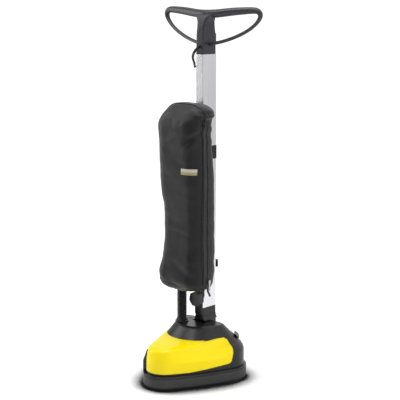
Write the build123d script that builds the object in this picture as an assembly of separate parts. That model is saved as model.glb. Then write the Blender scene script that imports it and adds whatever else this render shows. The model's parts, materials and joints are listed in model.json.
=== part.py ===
from build123d import *
import math
import os

# Upright three-disc floor polisher with suction, dust bag and tilting handle.
# +Z is up and the nose points along -Y. Heights are from the floor. Plan positions are first laid
# out from the head's own centre and shifted on export, so the origin is the middle of the footprint.

# ---------------------------------------------------------------- driving dimensions (mm)
CLEAR = 0.3                # gap between pieces of different bodies
SEAM = 0.5                 # visible seam between neighbouring covers

# head outline: a nose circle and two corner circles joined by slightly bowed sides
NOSE_Y = -135.6
NOSE_R = 67.4
CORNER_X = 74.3
CORNER_Y = 43.7
CORNER_R = 73.8
SIDE_BOW = 6.9

BUMPER_Z0 = 4.7
LIP_Z0 = 38.6
LIP_Z1 = 45.0
BUMPER_T = 4.5
BUMPER_ROUND = 6.5
LIP_ROUND = 1.8
GROOVE_H = 1.6
GROOVE_DEPTH = 1.4
SKIRT_T = 2.8
SKIRT_Z0 = 12.0
DECK_T = 3.0
SHELL_T = 2.6
WALL_INSET = 9.0

HOOD_EDGE_Z = 51.0         # lower edge of the hood round the nose
HOOD_EDGE_RISE = 12.0      # how much that edge climbs towards the rear
HOOD_EDGE_Y = -110.0       # where it starts to climb
HOOD_REAR_Y = 17.0         # where the hood ends at its lower edge
HOOD_REAR_TOP_Y = 30.0     # and at the top cover
HOOD_CORNER_R = 13.0

RIM_Z = 136.0              # where the top cover meets the hood
PLATEAU_Z = 170.0
GUARD_Z0 = 79.0            # where the guard on the left flank starts to lean in
GUARD_Z1 = 117.0           # its top
GUARD_LEAN = 14.0          # how far it leans in by there
GUARD_TURN = 133.0         # plan direction that the guard runs towards from the nose's middle
SLOT_HALF_X = 25.0
SLOT_FRONT_Y = 11.0
SLOT_FLOOR_Z = 112.0

# discs
PAD_R = 64.5
PAD_T = 8.0
HOLDER_R = 62.5
HOLDER_T = 6.0
HUB_R = 17.0
HUB_T = 3.2
SPINDLE_R = 6.0
SPINDLE_TOP_Z = 53.0
NOSE_DISC_Y = -116.0

# belt drive under the deck
COVER_Z0 = 19.0
COVER_T = 2.0
PULLEY_R = 38.0
DRIVE_R = 7.6
BELT_T = 1.6
BELT_W = 4.0
BELT_PITCH = 4.8
BELT_Z0 = 22.6             # middle height of the lowest belt is half a width above this

# motor and fan
MOTOR_Y = -24.0
MOTOR_SHAFT_R = 4.0
MOTOR_CASE_R = 40.0
MOTOR_CASE_T = 2.5
MOTOR_TOP_Z = 104.0
STATOR_R = 37.0
STATOR_BORE_R = 22.5
STATOR_Z0 = 54.0
STATOR_H = 38.0
ROTOR_R = 22.0
FAN_R = 31.0
FAN_CASE_R = 34.0
FAN_CASE_H = 20.0
FAN_OUTLET_DROP = 4.0      # outlet top below the top of the drum
BEARING_W = 7.0
BEARING_R = 11.0           # outer radius of the spindle bearings
MOTOR_BEARING_R = 9.0
BEARING_GAP = 0.05         # running clearance round a shaft

# hinge, neck and tube
TUBE_Y = 46.4
TUBE_X = 33.0              # width across the machine
TUBE_D = 60.0              # depth fore and aft
TUBE_WALL = 2.0
TUBE_CORNER = 3.0
TUBE_Z0 = 214.0
TUBE_Z1 = 997.5
GRIP_RISE = 132.5
GRIP_Z = TUBE_Z1 + GRIP_RISE   # top of the grip bar at its middle
HINGE_Z = 140.0
BARREL_R = 24.0
BARREL_HALF_X = 22.0
FOOT_HALF_X = 23.0
FOOT_Z = 174.5
FOOT_SPREAD_Y = 5.0
FLARE_H = 18.0
PLUG_LENGTH = 62.0
PIN_R = 5.0
CHEEK_T = 5.0
CHEEK_GAP = 1.0

# clamp knob
KNOB_Z = 243.5
KNOB_R = 24.0
KNOB_T = 17.0
KNOB_LOBE_R = 7.0
KNOB_LOBES = 7
BOLT_R = 4.0
NECK_PLATE_T = 3.0
NECK_PLATE_Z1 = 262.0

# grip
WING_SWEEP = 9.5           # degrees that each wing is swept back
GRIP_SPAN = 392.0
GRIP_T = 25.0              # height of the grip bar at its middle
LOOP_T = 10.5
WING_BEND = 30.0           # how softly the sweep starts in the middle
STEM_FLARE = 34.0          # radius of the flare from the stem into the wings
GRIP_PLUG = 45.0
SCREW_R = 3.0
COVER_HALF_X = 11.0
INLET_Z0 = 28.0
INLET_BORE_R = 4.0
CLIP_HALF_X = 3.0
CLAMP_Z = 679.0
HOOK_Z = 327.0

# bag
BAG_Y = -44.0
BAG_RIGHT_X = 97.0
BAG_BACK_GAP = 4.4         # from the bag's back to the tube
BAG_Z0 = 284.0
BAG_Z1 = 861.0
BAG_WALL = 2.5
FILTER_GAP = 2.0
FILTER_T = 1.0
ZIP_T = 1.2
ZIP_Y = -47.0
ZIP_Z0 = 313.0
ZIP_Z1 = 812.0
ZIP_SLIDER_Z = 318.0
LABEL_Z = 650.0
LABEL_X0 = 29.0
LABEL_X1 = 87.0
HOSE_X = -40.0
HOSE_Y = -19.0
HOSE_R = 15.4
HOSE_BORE_R = 11.0
HOSE_PITCH = 4.4
HOSE_RIB = 1.8
SOCKET_Z1 = 179.0
SOCKET_FLANGE_R = 21.0
SOCKET_FLANGE_T = 3.0
SOCKET_R = 18.0            # pipe under the dome
SOCKET_BORE_R = 12.6
HOSE_SEAT = 10.0           # how far the hose goes into its socket and into the bag's collar
COLLAR_R = 18.5

SHIFT_Y = -(NOSE_Y - NOSE_R + CORNER_Y + CORNER_R) / 2   # puts the footprint's middle at 0
RING_Y = {"front": NOSE_DISC_Y, "left": CORNER_Y, "right": CORNER_Y}
RING_X = {"front": 0.0, "left": -CORNER_X, "right": CORNER_X}
SIDES = ["front", "left", "right"]

nodes = {}


# ---------------------------------------------------------------- shapes used more than once
def ring(outer_r, inner_r, height, x, y, z):
    """A plain ring or bush standing on height z."""
    body = Cylinder(outer_r, height, align=(Align.CENTER, Align.CENTER, Align.MIN))
    bore = Cylinder(inner_r, height, align=(Align.CENTER, Align.CENTER, Align.MIN))
    return Pos(x, y, z) * (body - bore)


def disc(radius, height, x, y, z):
    """A solid disc or rod standing on height z."""
    return Pos(x, y, z) * Cylinder(radius, height, align=(Align.CENTER, Align.CENTER, Align.MIN))


def block(x0, x1, y0, y1, z0, z1):
    """A box given by its limits."""
    size = (x1 - x0, y1 - y0, z1 - z0)
    return Pos((x0 + x1) / 2, (y0 + y1) / 2, (z0 + z1) / 2) * Box(*size)


def along_x(radius, length, y, z):
    """A rod across the machine, centred on the middle plane."""
    return Pos(0, y, z) * (Rot(0, 90, 0) * Cylinder(radius, length))


def along_y(radius, y0, y1, x, z):
    """A rod fore and aft from y0 to y1."""
    return Pos(x, (y0 + y1) / 2, z) * (Rot(90, 0, 0) * Cylinder(radius, y1 - y0))


def outline(z, nose_y, nose_r, corner_x, corner_y, corner_r, bow=0.0):
    """Rounded triangle at height z: nose arc, bowed sides, corner arcs and a straight back."""
    reach = math.hypot(corner_x, corner_y - nose_y)
    lean = math.atan2(corner_y - nose_y, corner_x) - math.acos((nose_r - corner_r) / reach)
    nx, ny = math.cos(lean), math.sin(lean)
    nose = (nose_r * nx, nose_y + nose_r * ny)
    side = (corner_x + corner_r * nx, corner_y + corner_r * ny)
    bulge = ((nose[0] + side[0]) / 2 + bow * nx, (nose[1] + side[1]) / 2 + bow * ny)
    turn = (lean + math.pi / 2) / 2
    corner = (corner_x + corner_r * math.cos(turn), corner_y + corner_r * math.sin(turn))
    back = (corner_x, corner_y + corner_r)

    def side_edge(start, middle, end):
        return Line(start, end) if bow == 0 else ThreePointArc(start, middle, end)

    def flip(point):
        return (-point[0], point[1])

    edges = [
        ThreePointArc(flip(nose), (0, nose_y - nose_r), nose),
        side_edge(nose, bulge, side),
        ThreePointArc(side, corner, back),
        Line(back, flip(back)),
        ThreePointArc(flip(back), flip(corner), flip(side)),
        side_edge(flip(side), flip(bulge), flip(nose)),
    ]
    return Pos(0, 0, z) * make_face(edges)


def lip_outline(z, inset):
    """The head's own outline, drawn in by an inset."""
    return outline(z, NOSE_Y, NOSE_R - inset, CORNER_X, CORNER_Y, CORNER_R - inset, SIDE_BOW)


def band(z0, z1, outer_inset, inner_inset):
    """An upright band that follows the head's outline."""
    outer = extrude(lip_outline(z0, outer_inset), z1 - z0)
    return outer - extrude(lip_outline(z0, inner_inset), z1 - z0)


def body_form(inset):
    """The head's upper form, from the deck to above the rim, drawn in by an inset."""
    wall_nose = NOSE_R - WALL_INSET - inset
    wall_corner = CORNER_R - WALL_INSET + 1.7 - inset
    # height, nose y and radius, corner x, y and radius, bow of the flank
    sections = [
        (82.0, NOSE_Y, wall_nose - 1.0, CORNER_X, CORNER_Y, wall_corner, SIDE_BOW),
        (89.0, NOSE_Y, wall_nose - 1.8, CORNER_X, CORNER_Y, wall_corner, 4.0),
        (95.0, NOSE_Y, wall_nose - 2.6, CORNER_X, CORNER_Y, wall_corner - 0.5, 0.8),
        (104.0, NOSE_Y, wall_nose - 4.0, CORNER_X, CORNER_Y, wall_corner - 3.0, -2.5),
        (112.0, NOSE_Y + 1, wall_nose - 5.0, CORNER_X, CORNER_Y + 1, wall_corner - 9.0, -2.6),
        (118.0, NOSE_Y + 5, wall_nose - 4.5, CORNER_X - 2, CORNER_Y + 4, wall_corner - 15.5, -0.4),
        (124.0, NOSE_Y + 20, wall_nose - 2.0, CORNER_X - 8, CORNER_Y + 4, wall_corner - 17.0, 3.2),
        (130.0, NOSE_Y + 66, wall_nose + 9.0, CORNER_X - 16, CORNER_Y + 2, wall_corner - 16.5, 8.2),
        (136.0, NOSE_Y + 131, wall_nose + 29.0, CORNER_X - 26, CORNER_Y - 4, wall_corner - 13.5, 6.8),
        (139.0, NOSE_Y + 148, wall_nose + 10.0, CORNER_X - 36, CORNER_Y - 10, wall_corner - 18.5, 15.0),
    ]
    foot = outline(LIP_Z0, NOSE_Y, wall_nose, CORNER_X, CORNER_Y, wall_corner, SIDE_BOW)
    wall = loft([foot, outline(*sections[0])], ruled=True)
    shoulder = sections[0][0]
    crown = loft([outline(z - inset * min(1.0, (z - shoulder) / WALL_INSET), *rest)
                  for z, *rest in sections], ruled=True)
    return wall + crown


def body_shell():
    """The whole wall above the flange, before it is split into hood and rear cover."""
    return (body_form(0) - body_form(SHELL_T)) & block(-300, 300, -300, 300, LIP_Z1, 300)


def dome_form(grow):
    """The top cover's outer form; grow offsets it outwards, a negative value inwards."""
    top = PLATEAU_Z + min(grow, 0)
    sections = [
        (RIM_Z - 8, 6.0, 98.5 + grow, 48.0, 40.0, 59.0 + grow),
        (top - 4, 20.0, 77.0 + grow, 54.0, 30.0, 28.0 + grow),
        (top - 1, 21.5, 72.5 + grow, 55.5, 28.5, 23.8 + grow),
        (top, 22.0, 69.5 + grow, 56.0, 28.0, 20.8 + grow),
    ]
    return loft([outline(*section) for section in sections], ruled=True)


def tube_section(z, shrink, corner):
    """The tube's rounded rectangle at height z, drawn in by shrink on every side."""
    width, depth = TUBE_X - 2 * shrink, TUBE_D - 2 * shrink
    return Pos(0, TUBE_Y, z) * RectangleRounded(width, depth, corner)


def hood_region(grow):
    """Side profile of the hood, extruded across the machine; grow moves its edges outwards."""
    low = HOOD_EDGE_Z - grow
    front, top = NOSE_Y - NOSE_R - 50, PLATEAU_Z + 50
    lean = (HOOD_REAR_TOP_Y - HOOD_REAR_Y) / (RIM_Z - HOOD_EDGE_Z - HOOD_EDGE_RISE)
    rear_low = (HOOD_REAR_Y + grow, low + HOOD_EDGE_RISE)
    rear_high = (rear_low[0] + lean * (top - rear_low[1]), top)
    profile = Plane.YZ * make_face(Polyline((front, low), (HOOD_EDGE_Y, low), rear_low, rear_high,
                                            (front, top), close=True))
    corner = profile.vertices().sort_by_distance((0, *rear_low))[0]
    profile = fillet(corner, HOOD_CORNER_R + grow)
    return extrude(profile, 400, both=True)


# ---------------------------------------------------------------- head: fixed shells
def base_plate():
    """Deck, lip flange that carries the covers, and the skirt behind the bumper."""
    flange = extrude(lip_outline(LIP_Z0, 0), LIP_Z1 - LIP_Z0)
    flange = fillet(flange.faces().sort_by(Axis.Z)[-1].edges(), LIP_ROUND)
    hollow = extrude(lip_outline(LIP_Z0 + DECK_T, WALL_INSET + SHELL_T), LIP_Z1 - LIP_Z0)
    plate = flange - hollow + band(SKIRT_Z0, LIP_Z0, BUMPER_T, BUMPER_T + SKIRT_T)
    for side in SIDES:
        plate += disc(15.0, SPINDLE_TOP_Z - LIP_Z0 - 3, RING_X[side], RING_Y[side], LIP_Z0)
    for side in SIDES:
        plate -= disc(BEARING_R, 40, RING_X[side], RING_Y[side], LIP_Z0 - 2)
    plate -= disc(12.0, 20, 0, MOTOR_Y, LIP_Z0 - 5)
    return plate


def bumper():
    """Rubber band round the skirt, rounded below, with a groove under the lip."""
    rubber = extrude(lip_outline(BUMPER_Z0, 0), LIP_Z0 - BUMPER_Z0)
    rubber = fillet(rubber.faces().sort_by(Axis.Z)[0].edges(), BUMPER_ROUND)
    rubber -= extrude(lip_outline(SKIRT_Z0, BUMPER_T), LIP_Z0)
    rubber -= extrude(lip_outline(0, BUMPER_T + SKIRT_T), LIP_Z0)
    groove = band(LIP_Z0 - GROOVE_H, LIP_Z0, -1, GROOVE_DEPTH)
    return rubber - groove


def belt_cover():
    """Plate under the belts, hung from the deck by three posts per disc."""
    cover = extrude(lip_outline(COVER_Z0, BUMPER_T + SKIRT_T + 0.6), COVER_T)
    for side in SIDES:
        x, y = RING_X[side], RING_Y[side]
        cover += disc(BEARING_R + 3.0, COVER_T + 2, x, y, COVER_Z0 - 1)
        cover -= disc(BEARING_R, 12, x, y, COVER_Z0 - 4)
    posts = [(0.0, NOSE_Y - 38), (CORNER_X + 46, CORNER_Y), (-CORNER_X - 46, CORNER_Y), (0.0, 70.0)]
    for x, y in posts:
        cover += disc(5.0, LIP_Z0 - COVER_Z0, x, y, COVER_Z0)
    return cover


def hood():
    """Gloss cover over the nose and both flanks."""
    return (body_shell() & hood_region(0)) - dome_form(SEAM)


def side_guard():
    """Guard on the left flank, flush with the lip, from just past the nose to the rear cover."""
    upright = extrude(lip_outline(LIP_Z1, 0), GUARD_Z0 - LIP_Z1)
    sloped = loft([lip_outline(GUARD_Z0, 0), lip_outline(GUARD_Z1, GUARD_LEAN)], ruled=True)
    plate = (upright + sloped) - body_form(-CLEAR)
    rear = HOOD_REAR_Y - SEAM
    # level at the front, then falling in two slopes to the rear cover
    profile = Plane.YZ * make_face(Polyline(
        (-300, LIP_Z1), (-300, GUARD_Z1), (NOSE_Y - 42, GUARD_Z1), (NOSE_Y + 30, GUARD_Z1 - 34),
        (rear, GUARD_Z1 - 50), (rear, LIP_Z1), close=True))
    side = Pos(0, NOSE_Y, 0) * Rot(0, 0, GUARD_TURN) * block(0, 400, -300, 300, 0, 300)
    return plate & extrude(profile, -300) & side


def slot_cutter():
    """The upright slot that the neck swings back through."""
    return block(-SLOT_HALF_X, SLOT_HALF_X, SLOT_FRONT_Y, 300, SLOT_FLOOR_Z, 300)


def rear_cover():
    """Black cover round the foot and the rear of the head, with the trough and the pedal holes."""
    cover = body_shell() - hood_region(SEAM)
    for hand in (-1, 1):
        cover += pedal_guide(hand)
    cover = cover - dome_form(SEAM) - slot_cutter()
    trough = block(-SLOT_HALF_X - SHELL_T, SLOT_HALF_X + SHELL_T, SLOT_FRONT_Y + 70, 300,
                   SLOT_FLOOR_Z - SHELL_T, SLOT_FLOOR_Z)
    cover += trough & body_form(0)
    for hand in (-1, 1):
        cover -= pedal_place(hand) * Cylinder(PEDAL_STALK_R + CLEAR, 60)
    return cover


def top_cover():
    """Black dome that carries the hose socket and opens for the neck."""
    inner = dome_form(-SHELL_T)
    cover = dome_form(0) - inner - slot_cutter()
    skirt = cover & block(-300, 300, -300, 300, 0, RIM_Z - 5) & body_form(SEAM)
    cover = (cover & block(-300, 300, -300, 300, RIM_Z - 5, 300)) + skirt
    cover -= disc(SOCKET_R + CLEAR, 90, HOSE_X, HOSE_Y, RIM_Z - 20)
    for hand in (-1, 1):
        cover -= pedal_place(hand) * Cylinder(PEDAL_STALK_R + 1.0, 60)
    return cover


def hose_socket():
    """Low flanged spigot on the dome that the hose plugs into, with its pipe up from the fan."""
    low = MOTOR_TOP_Z + FAN_CASE_H - FAN_OUTLET_DROP
    flange = PLATEAU_Z + SOCKET_FLANGE_T
    seat = SOCKET_Z1 - HOSE_SEAT
    profile = [(SOCKET_BORE_R, low), (SOCKET_R, low), (SOCKET_R, PLATEAU_Z),
               (SOCKET_FLANGE_R, PLATEAU_Z), (SOCKET_FLANGE_R, flange), (SOCKET_R, flange + 2),
               (SOCKET_R, SOCKET_Z1), (HOSE_R + CLEAR, SOCKET_Z1), (HOSE_R + CLEAR, seat),
               (SOCKET_BORE_R, seat)]
    face = Plane.XZ * make_face(Polyline(*profile, close=True))
    return Pos(HOSE_X, HOSE_Y, 0) * revolve(face, Axis.Z)


# ---------------------------------------------------------------- head: drive
def disc_assembly(side, level):
    """One disc: pad, holder, spindle and its pulley at its belt's level."""
    x, y = RING_X[side], RING_Y[side]
    pad = ring(PAD_R, 10.0, PAD_T, x, y, 0)
    pad = chamfer(pad.edges().filter_by(GeomType.CIRCLE).sort_by(Axis.Z)[0:1], 1.0)
    holder = disc(HOLDER_R, HOLDER_T, x, y, PAD_T) + disc(HUB_R, HUB_T, x, y, PAD_T + HOLDER_T)
    holder -= disc(SPINDLE_R, 40, x, y, PAD_T - 1)
    for turn in range(6):
        angle = math.radians(60 * turn + 30)
        holder -= disc(8.0, 40, x + 40 * math.cos(angle), y + 40 * math.sin(angle), PAD_T - 1)
    spindle = disc(SPINDLE_R, SPINDLE_TOP_Z - PAD_T, x, y, PAD_T)
    z0 = BELT_Z0 + level * BELT_PITCH
    pulley = disc(PULLEY_R, BELT_W, x, y, z0) - disc(SPINDLE_R, 40, x, y, z0 - 5)
    for turn in range(5):
        angle = math.radians(72 * turn)
        pulley -= disc(7.0, 40, x + 23 * math.cos(angle), y + 23 * math.sin(angle), z0 - 5)
    return pad, holder, spindle, pulley


def belt(side, level):
    """Flat belt from the motor's drive pulley round one disc's pulley."""
    x, y = RING_X[side], RING_Y[side]
    gap = CLEAR
    z0 = BELT_Z0 + level * BELT_PITCH
    reach = math.hypot(x, y - MOTOR_Y)
    heading = math.degrees(math.atan2(y - MOTOR_Y, x))

    def loop(near_r, far_r):
        lean = math.acos((near_r - far_r) / reach)
        a = (near_r * math.cos(lean), near_r * math.sin(lean))
        b = (reach + far_r * math.cos(lean), far_r * math.sin(lean))
        edges = [ThreePointArc(a, (-near_r, 0), (a[0], -a[1])), Line((a[0], -a[1]), (b[0], -b[1])),
                 ThreePointArc((b[0], -b[1]), (reach + far_r, 0), b), Line(b, a)]
        return extrude(make_face(edges), BELT_W)

    outer = loop(DRIVE_R + gap + BELT_T, PULLEY_R + gap + BELT_T)
    inner = loop(DRIVE_R + gap, PULLEY_R + gap)
    return Pos(0, MOTOR_Y, z0) * (Rot(0, 0, heading) * (outer - inner))


def bearing(shaft_r, outer_r, width, x, y, z):
    """Plain ring standing for a sealed ball bearing."""
    return ring(outer_r, shaft_r + BEARING_GAP, width, x, y, z)


def spindle_bearings():
    """Upper and lower bearing of each spindle, as six separate rings."""
    rings = Part()
    for side in SIDES:
        x, y = RING_X[side], RING_Y[side]
        rings += bearing(SPINDLE_R, BEARING_R, BEARING_W, x, y, LIP_Z0 + 1)
        rings += bearing(SPINDLE_R, BEARING_R, COVER_T + 2, x, y, COVER_Z0 - 1)
    return rings


def motor_case():
    """Cup that holds the stator and both motor bearings; it stands on the deck."""
    z0 = LIP_Z0 + DECK_T
    height = MOTOR_TOP_Z - z0
    case = disc(MOTOR_CASE_R, height, 0, MOTOR_Y, z0)
    case -= disc(MOTOR_CASE_R - MOTOR_CASE_T, height - 16, 0, MOTOR_Y, z0 + 10)
    case -= disc(MOTOR_BEARING_R, BEARING_W, 0, MOTOR_Y, z0)
    case -= disc(MOTOR_BEARING_R, BEARING_W, 0, MOTOR_Y, MOTOR_TOP_Z - BEARING_W)
    case -= disc(MOTOR_SHAFT_R + 1.5, height + 2, 0, MOTOR_Y, z0 - 1)
    for turn in range(8):
        spoke = Pos(0, MOTOR_Y, z0 + 24) * Rot(0, 0, 45 * turn) * Pos(MOTOR_CASE_R, 0, 0)
        case -= spoke * Box(10, 12, 6)
    return case


def motor_bearings():
    """The two rings at the ends of the motor shaft."""
    z0 = LIP_Z0 + DECK_T
    low = bearing(MOTOR_SHAFT_R, MOTOR_BEARING_R, BEARING_W, 0, MOTOR_Y, z0)
    high = bearing(MOTOR_SHAFT_R, MOTOR_BEARING_R, BEARING_W, 0, MOTOR_Y, MOTOR_TOP_Z - BEARING_W)
    return low + high


def stator():
    """Laminated ring with two winding bulges, seated in the case."""
    body = ring(MOTOR_CASE_R - MOTOR_CASE_T, STATOR_BORE_R, STATOR_H, 0, MOTOR_Y, STATOR_Z0)
    wind = ring(STATOR_R - 3, STATOR_BORE_R + 3, STATOR_H + 4, 0, MOTOR_Y, STATOR_Z0 - 2)
    return body + wind


def rotor():
    """Shaft and armature in one turned piece."""
    z0 = BELT_Z0 - 1
    shaft = disc(MOTOR_SHAFT_R, MOTOR_TOP_Z + FAN_CASE_H - 2 - z0, 0, MOTOR_Y, z0)
    core = disc(ROTOR_R, STATOR_H - 2, 0, MOTOR_Y, STATOR_Z0 + 1)
    return shaft + core


def drive_pulley():
    """Stepless pulley on the motor shaft, long enough for the three belts."""
    length = 2 * BELT_PITCH + BELT_W
    return ring(DRIVE_R, MOTOR_SHAFT_R, length, 0, MOTOR_Y, BELT_Z0)


def fan_wheel():
    """Radial fan with straight vanes on the top of the motor shaft."""
    z0 = MOTOR_TOP_Z + 4
    wheel = disc(FAN_R, 2.0, 0, MOTOR_Y, z0) + disc(9.0, 12.0, 0, MOTOR_Y, z0)
    for turn in range(9):
        vane = Pos(0, MOTOR_Y, z0 + 1.5) * Rot(0, 0, 40 * turn) * Pos(19.0, 0, 0)
        wheel += vane * Box(23.0, 1.6, 9.0, align=(Align.CENTER, Align.CENTER, Align.MIN))
    return wheel - disc(MOTOR_SHAFT_R, 40, 0, MOTOR_Y, z0 - 5)


def fan_case():
    """Drum round the fan with the outlet that leads up to the hose socket."""
    z0 = MOTOR_TOP_Z
    case = disc(FAN_CASE_R, FAN_CASE_H + 2, 0, MOTOR_Y, z0)
    outlet = disc(SOCKET_R, FAN_CASE_H - FAN_OUTLET_DROP, HOSE_X, HOSE_Y, z0)
    case += outlet
    case -= disc(FAN_CASE_R - 2, FAN_CASE_H - 2, 0, MOTOR_Y, z0 + 2)
    case -= disc(SOCKET_BORE_R, FAN_CASE_H, HOSE_X, HOSE_Y, z0 + 4)
    case -= disc(12.0, 10, 0, MOTOR_Y, z0 - 1)
    case -= disc(SOCKET_R, FAN_CASE_H, HOSE_X, HOSE_Y, z0 + FAN_CASE_H - FAN_OUTLET_DROP)
    return case


# ---------------------------------------------------------------- head: hinge and pedals
PEDAL_TURN = 43.0          # plan direction of each pedal from the X axis, degrees
PEDAL_TILT = 40.0
PEDAL_REACH = 129.0
PEDAL_Z = 130.4
PEDAL_STALK_R = 5.0
PEDAL_TRAVEL = 1.6
PEDAL_T = 2.5
PEDAL_STOP = -23.0


def pedal_place(hand):
    """Frame of the right (1) or left (-1) pedal: Z along its normal, X outwards."""
    turn = PEDAL_TURN if hand > 0 else 180 - PEDAL_TURN
    x = PEDAL_REACH * math.cos(math.radians(turn))
    y = PEDAL_REACH * math.sin(math.radians(turn))
    return Pos(x, y, PEDAL_Z) * Rot(0, 0, turn) * Rot(0, PEDAL_TILT, 0)


def pedal(hand):
    """Foot button: a ribbed plate on a guided stalk."""
    plate = Box(18.0, 44.0, PEDAL_T)
    plate = fillet(plate.edges().filter_by(Axis.Z), 5.0)
    plate = fillet(plate.faces().sort_by(Axis.Z)[-1].edges(), 0.9)
    for step in (-4.0, 0.0, 4.0):
        plate -= Pos(step, 0, PEDAL_T / 2) * Box(1.2, 34.0, 1.0)
    stalk = Pos(0, 0, -1.0) * Cylinder(PEDAL_STALK_R, -PEDAL_STOP,
                                       align=(Align.CENTER, Align.CENTER, Align.MAX))
    stop = Pos(0, 0, PEDAL_STOP) * Cylinder(PEDAL_STALK_R + 2.0, 3.0,
                                            align=(Align.CENTER, Align.CENTER, Align.MAX))
    return pedal_place(hand) * (plate + stalk + stop)


def pedal_guide(hand):
    """Guide sleeve moulded under the rear cover; the pedal's stop ring bears on its lower end."""
    length = -PEDAL_STOP - CLEAR
    sleeve = Cylinder(PEDAL_STALK_R + 3.0, length, align=(Align.CENTER, Align.CENTER, Align.MAX))
    return (pedal_place(hand) * sleeve) & body_form(SHELL_T / 2)


def foot_switch():
    """Switch under the power pedal, held on two legs from the deck."""
    gap = PEDAL_TRAVEL + CLEAR
    body = Box(20.0, 24.0, 14.0, align=(Align.CENTER, Align.CENTER, Align.MAX))
    placed = pedal_place(1) * Pos(0, 0, PEDAL_STOP - 3.0 - gap) * body
    centre = placed.bounding_box().center()
    leg = block(centre.X - 5, centre.X + 5, centre.Y - 5, centre.Y + 5, LIP_Z0 + DECK_T, centre.Z)
    return placed + leg


def hinge_bracket():
    """Steel fork bolted to the deck; its cheeks carry the hinge pin."""
    z0 = LIP_Z0 + DECK_T
    inner = BARREL_HALF_X + CHEEK_GAP
    bracket = block(-inner - CHEEK_T, inner + CHEEK_T, TUBE_Y - 22, TUBE_Y + 22, z0, z0 + 5)
    for hand in (-1, 1):
        x0, x1 = sorted((hand * inner, hand * (inner + CHEEK_T)))
        bracket += block(x0, x1, TUBE_Y - 15, TUBE_Y + 15, z0, HINGE_Z)
        round_top = Pos((x0 + x1) / 2, TUBE_Y, HINGE_Z) * (Rot(0, 90, 0) * Cylinder(15.0, CHEEK_T))
        bracket += round_top
    return bracket - along_x(PIN_R, 100, TUBE_Y, HINGE_Z)


def hinge_pin():
    """Headed pin through both cheeks and the neck's barrel."""
    span = 2 * (BARREL_HALF_X + CHEEK_GAP + CHEEK_T)
    pin = along_x(PIN_R, span + 4, TUBE_Y, HINGE_Z)
    for hand in (-1, 1):
        pin += Pos(hand * (span / 2 + 1.0), 0, 0) * along_x(PIN_R + 3, 2.0, TUBE_Y, HINGE_Z)
    return pin


# ---------------------------------------------------------------- handle
def neck():
    """Moulded joint: barrel on the hinge pin, flared foot, and the plug inside the tube."""
    # concave foot: (share of its height, share of its spread)
    faces = []
    for share, spread in ((0.0, 1.0), (0.22, 0.5), (0.5, 0.2), (1.0, 0.0)):
        width = TUBE_X + spread * (2 * FOOT_HALF_X - TUBE_X)
        face = RectangleRounded(width, TUBE_D + FOOT_SPREAD_Y * spread, TUBE_CORNER + 2 * spread)
        faces.append(Pos(0, TUBE_Y, FOOT_Z + share * FLARE_H) * face)
    flare = loft(faces, ruled=True)
    upper = extrude(faces[-1], TUBE_Z0 - FOOT_Z - FLARE_H)
    plug_face = tube_section(TUBE_Z0, TUBE_WALL + 0.1, TUBE_CORNER - TUBE_WALL + 0.2)
    plug = extrude(plug_face, PLUG_LENGTH)
    barrel = along_x(BARREL_R, 2 * BARREL_HALF_X, TUBE_Y, HINGE_Z)
    web = block(-BARREL_HALF_X, BARREL_HALF_X, TUBE_Y - BARREL_R, TUBE_Y + BARREL_R,
                HINGE_Z, FOOT_Z)
    # raised plate on the front, under the knob
    front = TUBE_Y - TUBE_D / 2
    plate = block(-TUBE_X / 2 + 1, TUBE_X / 2 - 1, front - NECK_PLATE_T, front, FOOT_Z + FLARE_H,
                  NECK_PLATE_Z1)
    plate = fillet(plate.edges().filter_by(Axis.Y).sort_by(Axis.Z)[-2:], 6.0)
    solid = flare + upper + plug + barrel + web + plate
    solid -= along_x(PIN_R + BEARING_GAP, 100, TUBE_Y, HINGE_Z)
    solid -= along_y(BOLT_R + 0.2, TUBE_Y - 60, TUBE_Y + 60, 0, KNOB_Z)
    solid -= nut_shape(0.0)
    solid -= block(-9, 9, TUBE_Y - 16, TUBE_Y + 14, TUBE_Z0 + 4, KNOB_Z - 12)
    solid -= block(-9, 9, TUBE_Y - 16, TUBE_Y + 14, KNOB_Z + 10, TUBE_Z0 + PLUG_LENGTH + 1)
    return solid


def nut_shape(grow):
    """Hexagon nut held in the rear of the plug."""
    hexagon = extrude(RegularPolygon(8.0 + grow, 6), 6.5)
    rear = TUBE_Y + TUBE_D / 2 - TUBE_WALL - 0.1 - 6.5
    return Pos(0, rear, KNOB_Z) * Rot(-90, 0, 0) * hexagon


def clamp_nut():
    """The captive nut, bored for the clamp bolt."""
    return nut_shape(0.0) - along_y(BOLT_R + BEARING_GAP, TUBE_Y - 60, TUBE_Y + 60, 0, KNOB_Z)


def tube():
    """Extruded aluminium tube with thin lines along its front and a hole for the clamp bolt."""
    body = extrude(tube_section(TUBE_Z0, 0, TUBE_CORNER), TUBE_Z1 - TUBE_Z0)
    body -= extrude(tube_section(TUBE_Z0, TUBE_WALL, TUBE_CORNER - TUBE_WALL + 0.2),
                    TUBE_Z1 - TUBE_Z0)
    front = TUBE_Y - TUBE_D / 2
    for x in (-TUBE_X / 4, TUBE_X / 4):
        body -= block(x - 0.6, x + 0.6, front - 1, front + 0.5, TUBE_Z0, TUBE_Z1)
    body -= along_y(BOLT_R + 0.2, front - 5, front + 5, 0, KNOB_Z)
    return body


def clamp_knob():
    """Lobed grip knob in front of the tube."""
    y1 = TUBE_Y - TUBE_D / 2 - NECK_PLATE_T - CLEAR
    face = Circle(KNOB_R - 1.6)
    reach = KNOB_R - KNOB_LOBE_R
    for lobe in range(KNOB_LOBES):
        angle = math.radians(360 / KNOB_LOBES * lobe + 90)
        face += Pos(reach * math.cos(angle), reach * math.sin(angle)) * Circle(KNOB_LOBE_R)
    body = extrude(face, KNOB_T)
    body = Pos(0, y1, KNOB_Z) * Rot(90, 0, 0) * body
    return body - along_y(BOLT_R, y1 - 14, y1 + 5, 0, KNOB_Z)


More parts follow.
